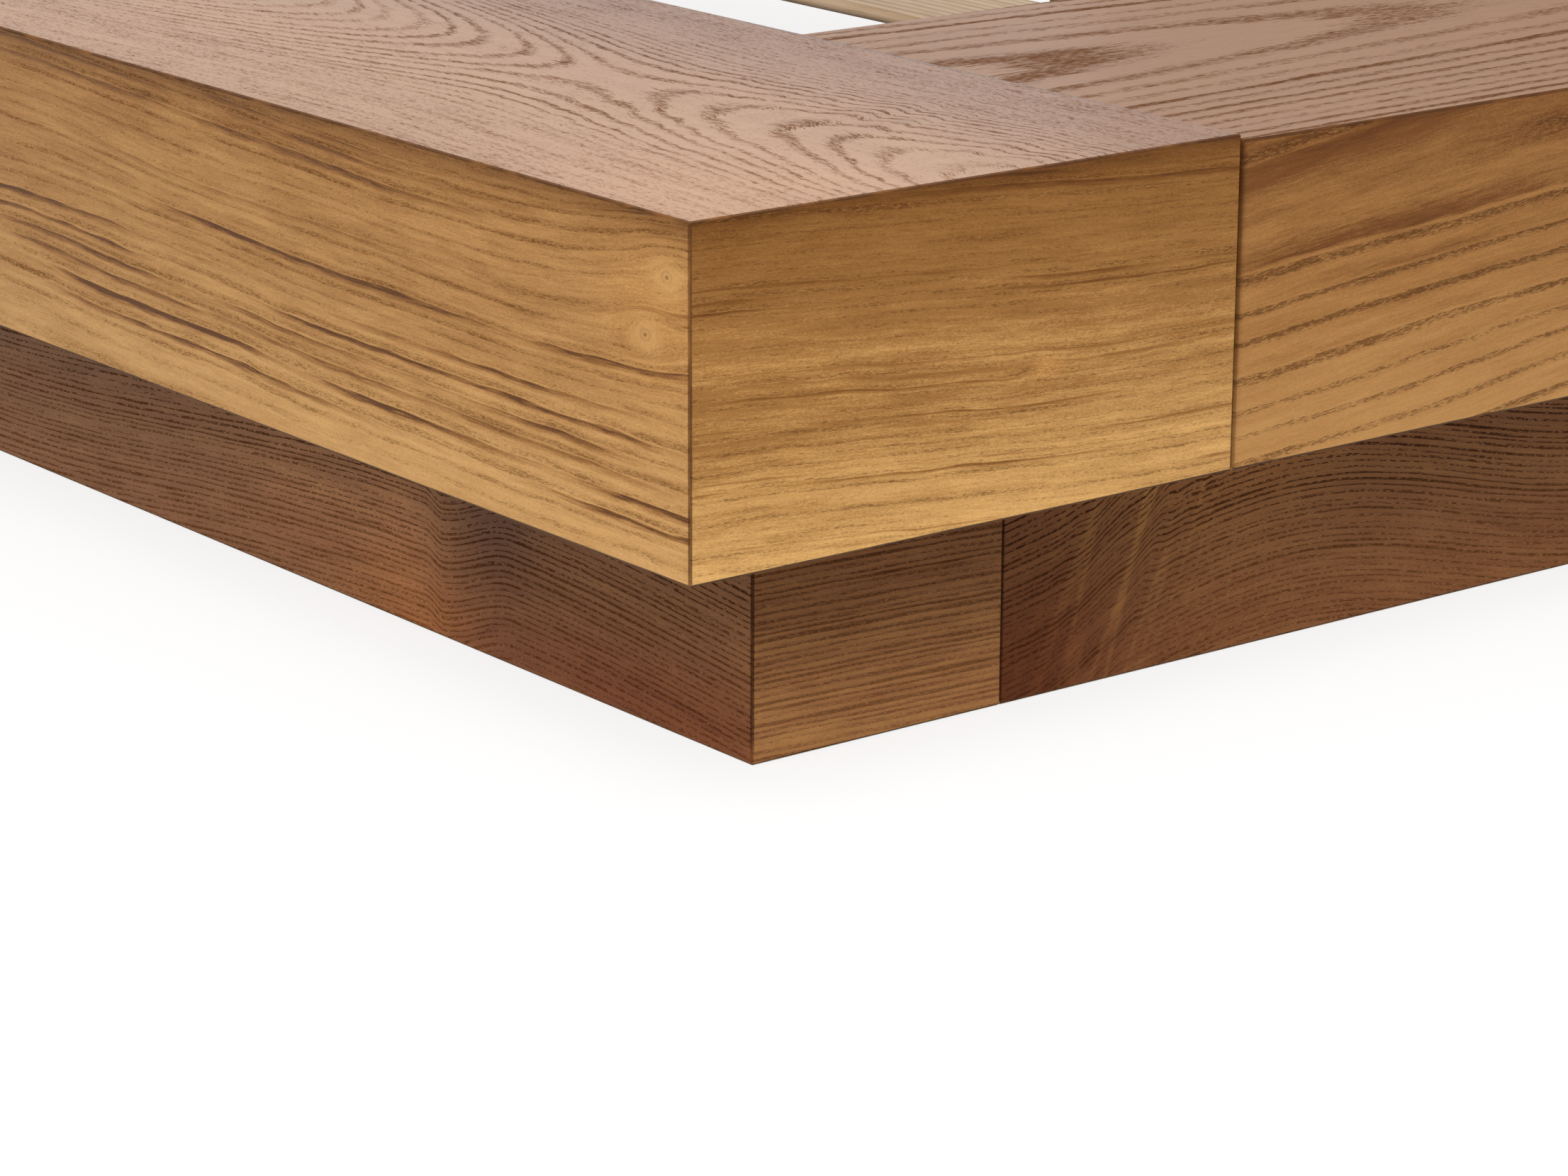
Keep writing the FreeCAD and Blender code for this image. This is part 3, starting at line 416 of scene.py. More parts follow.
def draw_knots(g, cut, u, v, base):
    """Each knot: a pale halo, a thin dark ring and a dot."""
    light, dark = cut.shades[0], cut.shades[-1]
    for knot in cut.knots:
        far_along = (u - knot.along) / knot.size
        far_across = (v - knot.across) / (knot.size * 0.7)
        far = (far_along * far_along + far_across * far_across).sqrt()
        base = g.mix(far.rise(3.0, 0.4) * 0.5, base, light)
        base = g.mix(far.bell(0.55, 0.14) * 0.2 + far.rise(0.30, 0.10) * 0.6, base, dark)
    return base


ARRIS_SHADE = from_screen(66, 38, 18)


def draw_edges(g, cut, place, panel, letters, base):
    """Stain gathered along the panel's edges, and the arris sanded through to broken brown."""
    brown, dark = cut.shades[2:]
    ragged = g.noise(place["X"] * 60.0, place["Y"] * 60.0, place["Z"] * 60.0, detail=1.0)
    rim = (edge_distance(place, panel, *letters) + ragged * 0.0008).rise(0.0009, 0.0003)
    base = g.mix(rim * 0.4, base, dark)
    eased = eased_edge(g)
    broken = g.mix(ragged.rise(-0.1, 0.3) * 0.6, ARRIS_SHADE, brown)
    return g.mix(eased * 0.75, base, broken), eased


def early_wood(cut, v, part):
    """1 in the porous band at the start of each ring. Far from the heart, the rings may blend."""
    early = part.rise(0.0, 0.06) * part.rise(cut.band * 1.3, cut.band * 0.5)
    if cut.blur:
        even = (v - cut.heart).absolute().rise(0.05, 0.11) * cut.blur
        early = early * (1.0 - even) + even * cut.band
    return early


def late_wood(g, cut, u, index, part, flat, weight, fine):
    """Dark streaks at the end of the rings: a thin one in each, and a thick one in some."""
    fade = g.stretched(u, index * 0.37, FADE_MARK, cut.seed + 2.9, detail=1.0).rise(-0.16, 0.14)
    thin = part.rise(0.55, 0.90) * (weight.rise(0.5, 1.0) * 0.25 + 0.05)
    thick = part.rise(0.40, 0.92) * weight.rise(0.55, 0.85) * (flat.rise(0.4, 0.8) * 0.7 + 0.3)
    return (thin + thick) * part.rise(1.0, 0.90) * fade * (fine + 0.8)


def paint_shade_by_height(cut, tone, height, tall):
    """Painted shade: darker towards the top of a panel, and near the floor."""
    if cut.top_shade:
        tone = tone + (height / tall - 0.5) * cut.top_shade
    if cut.low_shade:
        tone = tone + height.rise(0.07, 0.0) * cut.low_shade
    return tone


def pore_strength(cut, height):
    """How dark the pores are, at a height above the panel's lower edge; paler near the floor as painted
    light.
    """
    if cut.low_pores == 1.0:
        return cut.pore_depth
    return (height.rise(0.02, 0.11) * (1.0 - cut.low_pores) + cut.low_pores) * cut.pore_depth


BASE_TONE = 0.36
TONES_OF_SHADES = (0.0, 0.40, 0.75, 1.15)
VENEER_RELIEF = 0.00015


def veneer(panel, grain, across, cut):
    """Sliced veneer: growth rings cut by the face, pores in their early wood, fibres, stain, lacquer, and
    painted shade and highlights.
    """
    g = Graph(panel)
    place = g.place()
    u = place[grain]
    v = place[across]
    low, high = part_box(panel)
    height = place["Z"] - low.z
    w, crease = fibre_line(g, cut, u, v)
    index, part, flat = growth_rings(g, cut, u, w)
    weight = g.pick(index, cut.seed)
    early = early_wood(cut, v, part)
    grit = g.stretched(u, w, GRIT_MARK, cut.seed + 9.4, detail=1.0)
    fine = g.stretched(u, w, FINE_MARK, cut.seed + 4.4, detail=1.0)
    coarse = g.stretched(u, w, COARSE_MARK, cut.seed + 3.6, detail=2.0)
    broad = g.stretched(u, w, BROAD_MARK, cut.seed + 6.6, detail=1.0)
    plenty = early * (weight * 0.10 + 0.12) * cut.bold + coarse * 0.3
    tone = BASE_TONE + (broad * 0.35 + coarse * 0.5 + fine * 0.3 + grit * 0.5) * cut.figure
    tone = tone + early * (weight + 0.2 + coarse) * cut.haze
    if cut.streak:
        late = late_wood(g, cut, u, index, part, flat, weight, fine)
        tone = tone + late * cut.streak
        plenty = plenty + late * 0.1
    if cut.flash:
        tone = tone - crease * cut.flash
    # Painted shade: darker towards the top of the panel and near the floor
    tone = paint_shade_by_height(cut, tone, height, high.z - low.z)

    pore, painted_glint = pores(g, cut, u, w, plenty)
    light, dark = cut.shades[0], cut.shades[-1]
    base = g.ramp(tone, list(zip(TONES_OF_SHADES, cut.shades)))
    # Painted highlight: glints of lacquer in the lightest shade beside the pores
    base = g.mix(painted_glint * cut.painted_glint, base, light)
    base = g.mix(pore * pore_strength(cut, height), base, dark)
    # Patches of stain, painted shade and painted highlights
    for wash in cut.washes:
        base = g.mix(wash.cover(u, v), base, wash.tint, "MULTIPLY")
    base = draw_knots(g, cut, u, v, base)
    base, eased = draw_edges(g, cut, place, panel, (grain, across), base)
    roughness = 0.30 + pore * 0.70 + fine * 0.10 + eased * 0.3
    relief = fine * 0.10 - pore * 0.8
    return g.finish(base, roughness, relief, VENEER_RELIEF, Specular_IOR_Level=cut.gloss)


FOOT_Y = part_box("foot_rail_front")[0].y
CORNER_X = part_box("foot_rail_front")[1].x
WELL_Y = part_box("foot_rail_back")[1].y
RAIL_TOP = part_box("foot_rail_top")[1].z
EVERYWHERE = 9.0                       # reach of a patch that has no end on the sheet
SEED_STEP = 100                        # between the seeds of a sheet and its twin on the other side


def straight(panel, across, seed, **changes):
    """A sheet cut far from the heart: near-parallel lines."""
    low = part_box(panel)[0]
    settings = {"heart": low[AXES.index(across)] - 0.35, "lift": 0.02, "pitch": 0.0055, "uneven": 1.7,
                "bold": 1.4, "scatter": 0.02, "pore_depth": 0.6, "streak": 1.0, "tilt": 0.02}
    return Cut(seed=seed, **{**settings, **changes})


def crown(panel, across, seed, **changes):
    """A sheet cut near the heart: nested arches along the middle."""
    low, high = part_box(panel)
    axis = AXES.index(across)
    settings = {"heart": 0.5 * (low[axis] + high[axis]), "lift": 0.12, "pitch": 0.0085, "taper": 0.041,
                "feather": 0.003, "band": 0.5, "bold": 1.7, "pore_size": (0.007, 0.0005), "streak": 0.0,
                "figure": 0.6}
    return Cut(seed=seed, **{**settings, **changes})


def dress(panel, grain, across, cut):
    assign(panel, veneer(panel, grain, across, cut))


END_SHADES = screen_shades((234, 182, 112), (167, 117, 62), (129, 82, 35), (98, 56, 22))
SIDE_SHADES = screen_shades((203, 151, 91), (172, 120, 66), (126, 79, 37), (102, 58, 22))
# Painted shade and sheen: the tops' shades are darker and pinker than the faces', the side tops' darkest
FOOT_TOP_PAINTED_SHADES = screen_shades((202, 150, 103), (178, 126, 82), (144, 93, 48), (112, 64, 26))
SIDE_TOP_PAINTED_SHADES = screen_shades((172, 122, 80), (151, 102, 62), (124, 78, 40), (104, 60, 26))
PLINTH_SHADES = screen_shades((226, 166, 98), (184, 125, 78), (144, 88, 49), (74, 40, 24))

# Tints that patches multiply the colour by: a yellow spot, painted shade and painted highlights
# Painted shade: darker and redder near the floor, where the lacquer reflects no light
RED_PAINTED_SHADE = (0.72, 0.52, 0.42)
DEEP_RED_PAINTED_SHADE = (0.48, 0.32, 0.25)
# Painted shade beside a fold in the plinth, under the rail
DARK_PAINTED_SHADE = (0.48, 0.44, 0.50)
# Painted shade: darker along a rail's top edge
TOP_EDGE_PAINTED_SHADE = (0.62, 0.56, 0.46)
# Painted shade: less sheen and light towards the well on the foot rail's top
WELL_SIDE_PAINTED_SHADE = (0.58, 0.45, 0.30)
# Painted shadow: a dark line along the gaps between the rails
JOINT_PAINTED_SHADOW = (0.30, 0.26, 0.24)
YELLOW_SPOT = (0.80, 0.70, 0.40)
# Painted highlights: lacquer sheen and glows of light
PALE_SHEEN = (1.30, 1.32, 1.40)
GOLD_SHEEN = (1.35, 1.36, 1.25)
HAZE_SHEEN = (1.40, 1.42, 1.50)
GOLD_GLOW = (1.15, 1.15, 1.10)
AMBER_GLOW = (1.38, 1.30, 1.05)


def foot_top_cut():
    """Arches that meet in a saddle near the corner, folded beside it."""
    saddle = Saddle(middle=CORNER_X - 0.275, slope=0.107, roundness=0.05)
    return Cut(
        seed=11.0, heart=FOOT_Y + 0.155, lift=0.108, pitch=0.0032, skew=0.8, taper=0.0167,
        origin=saddle.middle, saddle=saddle, fold=0.03, flash=0.12, band=0.4, blur=0.75, bold=1.3,
        scatter=0.10, pore_size=(0.0035, 0.00045), pore_depth=0.62, haze=0.25, streak=0.0, figure=0.5,
        gloss=0.26, shades=FOOT_TOP_PAINTED_SHADES,
        curls=(Patch(CORNER_X - 0.10, FOOT_Y + 0.17, length=0.15, spread=0.08, height=0.03),),
        washes=(Patch(CORNER_X - 0.14, FOOT_Y + 0.003, length=0.010, spread=0.003, tint=YELLOW_SPOT),
                Patch(CORNER_X - 0.03, FOOT_Y + 0.05, length=0.12, spread=0.08, tint=GOLD_GLOW),
                Patch(CORNER_X, WELL_Y, length=EVERYWHERE, spread=0.11, tint=WELL_SIDE_PAINTED_SHADE),
                Patch(CORNER_X - 0.22, WELL_Y, length=0.17, spread=0.003, tint=JOINT_PAINTED_SHADOW)))


def foot_front_cut():
    """Streaks that slope down to the corner, and two small knots beside it."""
    return Cut(
        seed=25.0, heart=0.110, lift=0.08, pitch=0.0052, tilt=0.025, origin=CORNER_X - 0.23,
        sway=0.016, ripple=0.0018, uneven=1.4, band=0.4, bold=1.1, scatter=0.03,
        pore_size=(0.0025, 0.0003), pore_depth=0.35, streak=1.15, top_shade=0.42,
        swells=(Patch(CORNER_X + 0.032, 0.265, length=0.09, spread=0.045, height=0.024),),
        knots=(Knot(CORNER_X - 0.0144, 0.267, size=0.006), Knot(CORNER_X - 0.029, 0.241, size=0.006)),
        washes=(Patch(CORNER_X, RAIL_TOP, length=EVERYWHERE, spread=0.008, tint=TOP_EDGE_PAINTED_SHADE),
                Patch(CORNER_X - 0.02, 0.25, length=0.035, spread=0.03, tint=GOLD_GLOW)))


def foot_end_cut():
    """Fine lines, nearly level, with one pale spot."""
    return Cut(
        seed=31.0, heart=-0.3, lift=0.02, pitch=0.0042, sway=0.008, ripple=0.0025, uneven=1.8, band=0.4,
        bold=0.9, scatter=0.05, pore_size=(0.0025, 0.0003), pore_depth=0.45, haze=0.05, streak=1.1,
        figure=0.75, top_shade=0.60, shades=END_SHADES,
        slides=(Slide(FOOT_Y - 0.10, FOOT_Y + 0.32, drop=0.022),),
        swells=(Patch(FOOT_Y + 0.182, 0.209, length=0.012, spread=0.010, height=0.002),),
        washes=(Patch(FOOT_Y + 0.188, 0.206, length=0.009, spread=0.005, tint=PALE_SHEEN),
                Patch(CORNER_X, RAIL_TOP, length=EVERYWHERE, spread=0.006, tint=TOP_EDGE_PAINTED_SHADE),
                Patch(WELL_Y, RAIL_TOP, length=0.001, spread=0.13, tint=JOINT_PAINTED_SHADOW)))


def dress_foot_rail():
    dress("foot_rail_top", "X", "Y", foot_top_cut())
    dress("foot_rail_front", "X", "Z", foot_front_cut())
    dress("foot_rail_ends", "Y", "Z", foot_end_cut())
    dress("foot_rail_back", "X", "Z", straight("foot_rail_back", "Z", 37.0))
    dress("foot_rail_bottom", "X", "Y", straight("foot_rail_bottom", "Y", 41.0))


def dress_head_rail():
    dress("head_rail_top", "X", "Y", crown("head_rail_top", "Y", 103.0, gloss=0.4))
    for panel, seed in (("head_rail_front", 107.0), ("head_rail_back", 113.0)):
        dress(panel, "X", "Z", straight(panel, "Z", seed, top_shade=0.4))
    ends = straight("head_rail_ends", "Z", 127.0, top_shade=0.4, shades=END_SHADES)
    dress("head_rail_ends", "Y", "Z", ends)
    dress("head_rail_bottom", "X", "Y", straight("head_rail_bottom", "Y", 131.0))


def side_outer_cut(seed):
    """Lines that climb away from the foot, with the heart near the top."""
    return Cut(
        seed=seed, heart=0.266, lift=0.03, pitch=0.013, tilt=-0.093, origin=FOOT_Y + 0.42, taper=-0.02,
        sway=0.014, ripple=0.0018, uneven=1.0, band=0.3, bold=2.0, pore_size=(0.003, 0.0003),
        pore_depth=0.6, haze=0.12, streak=0.45, figure=0.8, top_shade=0.60, shades=SIDE_SHADES,
        washes=(Patch(WELL_Y, RAIL_TOP, length=0.0024, spread=0.13, tint=JOINT_PAINTED_SHADOW),))


def side_top_cut(seed, mirror):
    """Long arches along the rail. mirror is -1 for the left rail."""
    return Cut(
        seed=seed, heart=(CORNER_X - 0.191) * mirror, lift=0.1224, pitch=0.0085, taper=0.041, origin=FOOT_Y,
        uneven=0.2, feather=0.003, band=0.5, bold=2.2, pore_size=(0.005, 0.0005), pore_depth=0.72,
        haze=0.25, streak=0.0, figure=0.4, shades=SIDE_TOP_PAINTED_SHADES)


def dress_side_rails():
    for number, (side, mirror) in enumerate((("right", 1.0), ("left", -1.0))):
        shift = SEED_STEP * number
        dress(f"{side}_rail_outer", "Y", "Z", side_outer_cut(47.0 + shift))
        dress(f"{side}_rail_top", "Y", "X", side_top_cut(59.0 + shift, mirror))
        dress(f"{side}_rail_inner", "Y", "Z", straight(f"{side}_rail_inner", "Z", 61.0 + shift))
        dress(f"{side}_rail_bottom", "Y", "X", straight(f"{side}_rail_bottom", "X", 67.0 + shift))


def plinth_cut(seed, **changes):
    """Close rows of large pores, fainter near the floor."""
    settings = {"heart": -0.3, "lift": 0.03, "pitch": 0.0031, "band": 0.45, "bold": 2.4,
                "pore_size": (0.0025, 0.0009), "pore_depth": 0.95, "low_pores": 0.3, "haze": 0.2,
                "streak": 0.0, "figure": 0.8, "top_shade": 0.12, "shades": PLINTH_SHADES}
    return Cut(seed=seed, **{**settings, **changes})


def plinth_foot_cut(seed):
    """Rows that climb to a kink, climb again past it, and drop towards the corner."""
    return plinth_cut(
        seed, low_shade=0.25,
        slides=(Slide(CORNER_X - 0.85, CORNER_X - 0.40, drop=-0.030),
                Slide(CORNER_X - 0.400, CORNER_X - 0.384, drop=0.005),
                Slide(CORNER_X - 0.390, CORNER_X - 0.325, drop=-0.016),
                Slide(CORNER_X - 0.33, CORNER_X + 0.05, drop=0.022)),
        washes=(Patch(CORNER_X - 0.22, 0.0, length=0.16, spread=0.05, tint=RED_PAINTED_SHADE),
                Patch(CORNER_X - 0.34, 0.09, length=0.04, spread=0.06, tint=DARK_PAINTED_SHADE),
                Patch(CORNER_X - 0.415, 0.06, length=0.03, spread=0.05, tint=PALE_SHEEN),
                Patch(CORNER_X - 0.49, 0.05, length=0.10, spread=0.04, tint=HAZE_SHEEN),
                Patch(CORNER_X - 0.41, 0.0, length=0.05, spread=0.03, tint=AMBER_GLOW)))


def plinth_end_cut(seed):
    """Straight rows of smaller pores."""
    return plinth_cut(
        seed, tilt=0.03, origin=FOOT_Y, pitch=0.0032, band=0.55, pore_size=(0.002, 0.0004), pore_depth=0.5,
        haze=0.3)


def plinth_side_cut(seed):
    """Rows that climb steeply at a leaning fold and arch over behind it."""
    return plinth_cut(
        seed, lean=0.4, flash=0.35, low_shade=0.3,
        slides=(Slide(FOOT_Y + 0.30, FOOT_Y + 0.37, drop=-0.018),),
        swells=(Patch(FOOT_Y + 0.47, 0.0, length=0.16, spread=EVERYWHERE, height=0.045),),
        curls=(Patch(FOOT_Y + 0.338, 0.08, length=0.038, spread=0.10, height=0.014),),
        washes=(Patch(FOOT_Y + 0.30, 0.02, length=0.07, spread=0.07, tint=DEEP_RED_PAINTED_SHADE),
                Patch(FOOT_Y + 0.43, 0.09, length=0.06, spread=0.05, tint=GOLD_SHEEN)))


def dress_plinth():
    for number, (end, side) in enumerate((("foot", "right"), ("head", "left"))):
        shift = SEED_STEP * number
        dress(f"plinth_{end}_face", "X", "Z", plinth_foot_cut(71.0 + shift))
        dress(f"plinth_{end}_ends", "Y", "Z", plinth_end_cut(83.0 + shift))
        dress(f"plinth_{side}_face", "Y", "Z", plinth_side_cut(97.0 + shift))


def dress_headboard():
    saddle = Saddle(middle=0.2, slope=0.12, roundness=0.2)
    dress("headboard_front", "X", "Z", crown("headboard_front", "Z", 211.0, saddle=saddle, gloss=0.2))
    dress("headboard_back", "X", "Z", straight("headboard_back", "Z", 223.0, pitch=0.008))
    dress("headboard_lippings", "X", "Z", straight("headboard_lippings", "Z", 227.0))


# Solid wood and board

SLAT_PITCH = 0.175


def timber(name, grain, pith, pitch, shades, seed, spacing=0.0):
    """Planed solid wood: rings around the pith run through the piece.

    With a spacing, each piece along Y has rings and a shade of its own.
    """
    g = Graph(name)
    place = g.place()
    u = place[grain]
    a, b = [place[letter] for letter in AXES if letter != grain]
    shift = seed
    reach_a = a - pith[0]
    reach_b = b - pith[1]
    if spacing:
        turn = g.pick((place["Y"] / spacing).floor(), seed)
        shift = turn * 40.0 + seed
        reach_b = reach_b + turn * 0.05
    wander = g.noise(u * 3.0, a * 9.0, b * 9.0 + shift, detail=2.0)
    ring = (reach_a * reach_a + reach_b * reach_b).sqrt() + wander * 0.02
    part = (ring / pitch + shift).fraction()
    fine = g.noise(u * 40.0, a * 1100.0, b * 1100.0 + shift, detail=2.0)
    coarse = g.noise(u * 4.0, a * 90.0, b * 90.0 + shift, detail=2.0)
    saw = g.noise(u * 260.0, a * 30.0, b * 30.0, detail=1.0)
    tone = 0.35 + part.rise(0.3, 0.95) * part.rise(1.0, 0.96) * 0.4 + fine * 0.5 + coarse * 0.7
    if spacing:
        tone = tone + (turn - 0.5) * 0.25
    base = g.ramp(tone, [(0.0, shades[0]), (0.45, shades[1]), (1.0, shades[2])])
    base = g.mix((fine - 0.16).rise(0.0, 0.08) * 0.5, base, shades[2])
    return g.finish(base, 0.62 + fine * 0.3, fine * 0.7 + saw * 0.3, depth=0.0003, Specular_IOR_Level=0.25)


def chip_board(name):
    """Raw particle board: pressed chips of several shades."""
    g = Graph(name)
    place = g.place()
    x, y, z = [place[letter] for letter in AXES]
    chips = g.noise(x * 170.0, y * 170.0, z * 170.0, detail=3.0)
    dust = g.noise(x * 900.0, y * 900.0, z * 900.0, detail=1.0)
    shades = screen_shades((222, 197, 158), (196, 166, 124), (148, 112, 72))
    base = g.ramp(chips + dust * 0.5, list(zip((-0.3, 0.0, 0.3), shades)))
    return g.finish(base, 0.8 + dust * 0.2, chips + dust, depth=0.0004, Specular_IOR_Level=0.2)


def dress_timber():
    pale = screen_shades((212, 187, 158), (186, 157, 126), (140, 110, 80))
    pine = screen_shades((226, 196, 146), (206, 168, 114), (170, 124, 72))
    beech = screen_shades((222, 182, 138), (204, 158, 112), (176, 128, 84))
    slat = timber("raw_slat", "X", pith=(-0.9, 0.13), pitch=0.007, shades=pale, seed=5.0, spacing=SLAT_PITCH)
    along = timber("support_timber_long", "Y", pith=(0.2, 0.10), pitch=0.0045, shades=pine, seed=15.0)
    upright = timber("support_timber_post", "Z", pith=(0.05, 0.05), pitch=0.004, shades=pine, seed=25.0)
    dowel = timber("dowel_wood", "Y", pith=(0.0, 0.1), pitch=0.003, shades=beech, seed=35.0)
    board = chip_board("carcass_board")
    for node in ("slats_right", "slats_left"):
        assign(node, slat)
    for node in ("ledgers", "centre_beam"):
        assign(node, along)
    for node in ("centre_legs", "headboard_gussets"):
        assign(node, upright)
    for node in ("rail_dowels", "plinth_dowels"):
        assign(node, dowel)
    boards = [node for node in NODES if node.endswith(("_ribs", "_carcass"))]
    for node in boards + ["headboard_core"]:
        assign(node, board)


# Metal and plastic

def powder_coat(name):
    """Black baked coating with a fine orange-peel skin, rubbed paler in patches."""
    g = Graph(name)
    place = g.place()
    x, y, z = [place[letter] for letter in AXES]
    peel = g.noise(x * 700.0, y * 700.0, z * 700.0, detail=1.0)
    rub = g.noise(x * 90.0, y * 90.0, z * 90.0, detail=3.0)
    worn, black, deep = (0.055, 0.054, 0.053), (0.020, 0.020, 0.021), (0.012, 0.012, 0.013)
    base = g.ramp(rub, [(-0.3, deep), (0.15, black), (0.4, worn)])
    return g.finish(base, 0.48 + peel * 0.25, peel, depth=0.0001)


def zinc(name):
    """Zinc-plated steel with faint clouds and drawing lines."""
    g = Graph(name)
    place = g.place()
    x, y, z = [place[letter] for letter in AXES]
    cloud = g.noise(x * 160.0, y * 160.0, z * 160.0, detail=3.0)
    scratch = g.noise(x * 2500.0, y * 2500.0, z * 300.0, detail=1.0)
    grey, silver, warm = (0.44, 0.45, 0.46), (0.60, 0.60, 0.59), (0.70, 0.68, 0.62)
    base = g.ramp(cloud, [(-0.3, grey), (0.0, silver), (0.3, warm)])
    return g.finish(base, 0.34 + cloud * 0.3 + scratch * 0.15, scratch, depth=0.00004, Metallic=1.0)


def moulded_plastic(name):
    """Black plastic with a fine grained skin and a scuffed sole."""
    g = Graph(name)
    place = g.place()
    x, y, z = [place[letter] for letter in AXES]
    skin = g.noise(x * 1400.0, y * 1400.0, z * 1400.0, detail=1.0)
    scuff = g.noise(x * 220.0, y * 60.0, z * 220.0, detail=3.0).rise(0.05, 0.25) * z.rise(0.006, 0.0)
    black, scuffed = (0.016, 0.016, 0.017), (0.10, 0.10, 0.10)
    base = g.mix(scuff * 0.6, black, scuffed)
    return g.finish(base, 0.5 + skin * 0.2, skin, depth=0.00015)


FOOT_PAD_TOP = 0.0101                  # a levelling foot is plastic up to here, and a steel stud above


def dress_hardware():
    coat = powder_coat("bracket_steel")
    plated = zinc("fastener_steel")
    plastic = moulded_plastic("foot_plastic")
    for node in ("corner_brackets", "beam_hangers"):
        assign(node, coat)
    for node in ("bracket_bolts", "ledger_screws", "hanger_screws", "leg_bolts", "leg_inserts",
                 "headboard_screws", "staples_right", "staples_left"):
        assign(node, plated)
    for node in ("levelling_foot_front", "levelling_foot_middle", "levelling_foot_rear"):
        assign(node, plastic, plated)
        for polygon in NODES[node].data.polygons:
            polygon.material_index = 1 if polygon.center.z > FOOT_PAD_TOP else 0


# Webbing straps under the slats

STRAP_WIDTH = 0.028
STRAP_THICKNESS = 0.0012
STRAP_STEP = 0.005
STRAP_SAG = 0.0015
SECTION_POINTS = 16
SLAT_HALF_WIDTH = 0.045
WARP_PITCH = 0.0016
WEFT_PITCH = 0.0011


def webbing(name):
    """Woven tape: a weave of warp and weft, with fuzz and a little soil."""
    g = Graph(name)
    place = g.place()
    x = place["X"]
    y = place["Y"]
    warp = (x * (2 * math.pi / WARP_PITCH)).sine()
    weft = (y * (2 * math.pi / WEFT_PITCH)).sine()
    weave = warp * weft
    fuzz = g.noise(x * 2600.0, y * 2600.0, place["Z"] * 2600.0, detail=2.0)
    soil = g.noise(x * 30.0, y * 12.0, 3.0, detail=3.0)
    tone = weave * 0.22 + fuzz * 0.6 + soil * 0.7
    shades = screen_shades((168, 161, 148), (206, 201, 190), (228, 224, 214))
    base = g.ramp(tone, list(zip((-0.5, 0.0, 0.5), shades)))
    return g.finish(base, 0.85 + fuzz * 0.1, weave * 0.5 + fuzz * 0.4, depth=0.0003, Sheen_Weight=0.25)


def strap_sag(y, first_slat):
    """How far the tape hangs below the slats' undersides: not at all on a slat, most midway between two."""
    nearest = round((y - first_slat) / SLAT_PITCH) * SLAT_PITCH + first_slat
    past_edge = max(abs(y - nearest) - SLAT_HALF_WIDTH, 0.0)
    gap = SLAT_PITCH / 2 - SLAT_HALF_WIDTH
    return STRAP_SAG * math.sin(0.5 * math.pi * min(past_edge / gap, 1.0)) ** 2


def strap_ring(x_centre, y, z_centre):
    """One cross-section of the tape: flat, with rounded selvedges."""
    points = []
    for step in range(SECTION_POINTS):
        angle = 2 * math.pi * step / SECTION_POINTS
        cosine, sine = math.cos(angle), math.sin(angle)
        x = x_centre + 0.5 * STRAP_WIDTH * math.copysign(abs(cosine) ** 0.35, cosine)
        z = z_centre + 0.5 * STRAP_THICKNESS * math.copysign(abs(sine) ** 0.6, sine)
        points.append((x, y, z))
    return points


def strap_mesh(name, x_centres, low, high, first_slat):
    vertices = []
    faces = []
    steps = round((high.y - low.y) / STRAP_STEP)
    for x_centre in x_centres:
        start = len(vertices)
        for step in range(steps + 1):
            y = low.y + (high.y - low.y) * step / steps
            z = high.z - 0.5 * STRAP_THICKNESS - strap_sag(y, first_slat)
            vertices.extend(strap_ring(x_centre, y, z))
        for step in range(steps):
            here = start + step * SECTION_POINTS
            ahead = here + SECTION_POINTS
            for point in range(SECTION_POINTS):
                after = (point + 1) % SECTION_POINTS
                faces.append((here + point, ahead + point, ahead + after, here + after))
        last = start + steps * SECTION_POINTS
        faces.append(tuple(start + point for point in range(SECTION_POINTS)))
        faces.append(tuple(last + point for point in reversed(range(SECTION_POINTS))))
    mesh = bpy.data.meshes.new(name)
    mesh.from_pydata(vertices, [], faces)
    mesh.shade_smooth()
    return mesh


def make_straps():
    tape = webbing("webbing")
    for side in ("right", "left"):
        low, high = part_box(f"straps_{side}")
        first_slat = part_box(f"slats_{side}")[0].y + SLAT_HALF_WIDTH
        inset = 0.5 * STRAP_WIDTH
        mesh = strap_mesh(f"webbing_{side}", (low.x + inset, high.x - inset), low, high, first_slat)
        mesh.materials.append(tape)
        piece = bpy.data.objects.new(f"webbing_{side}", mesh)
        bpy.context.scene.collection.objects.link(piece)
        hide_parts(f"straps_{side}")
        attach(piece, f"slat_mat_{side}")


# Camera, light and floor

CAMERA_PLACE = Vector((CORNER_X + 1.46787, FOOT_Y - 1.10427, 0.69115))
CAMERA_PITCH = math.radians(73.36158)  # up from looking straight down
CAMERA_ROLL = math.radians(-0.25806)
CAMERA_HEADING = math.radians(51.93455)  # round to the left from looking along Y
CAMERA_LENS = 109.674
CAMERA_SENSOR = 36.0
CAMERA_REACH = 100.0


def make_camera():
    data = bpy.data.cameras.new("camera")
    data.sensor_width = CAMERA_SENSOR
    data.sensor_fit = "HORIZONTAL"
    data.lens = CAMERA_LENS
    data.clip_end = CAMERA_REACH
    camera = bpy.data.objects.new("camera", data)
    turn = Euler((CAMERA_PITCH, CAMERA_ROLL, CAMERA_HEADING))
    camera.matrix_world = Matrix.LocRotScale(CAMERA_PLACE, turn, None)
    bpy.context.scene.collection.objects.link(camera)
    bpy.context.scene.camera = camera


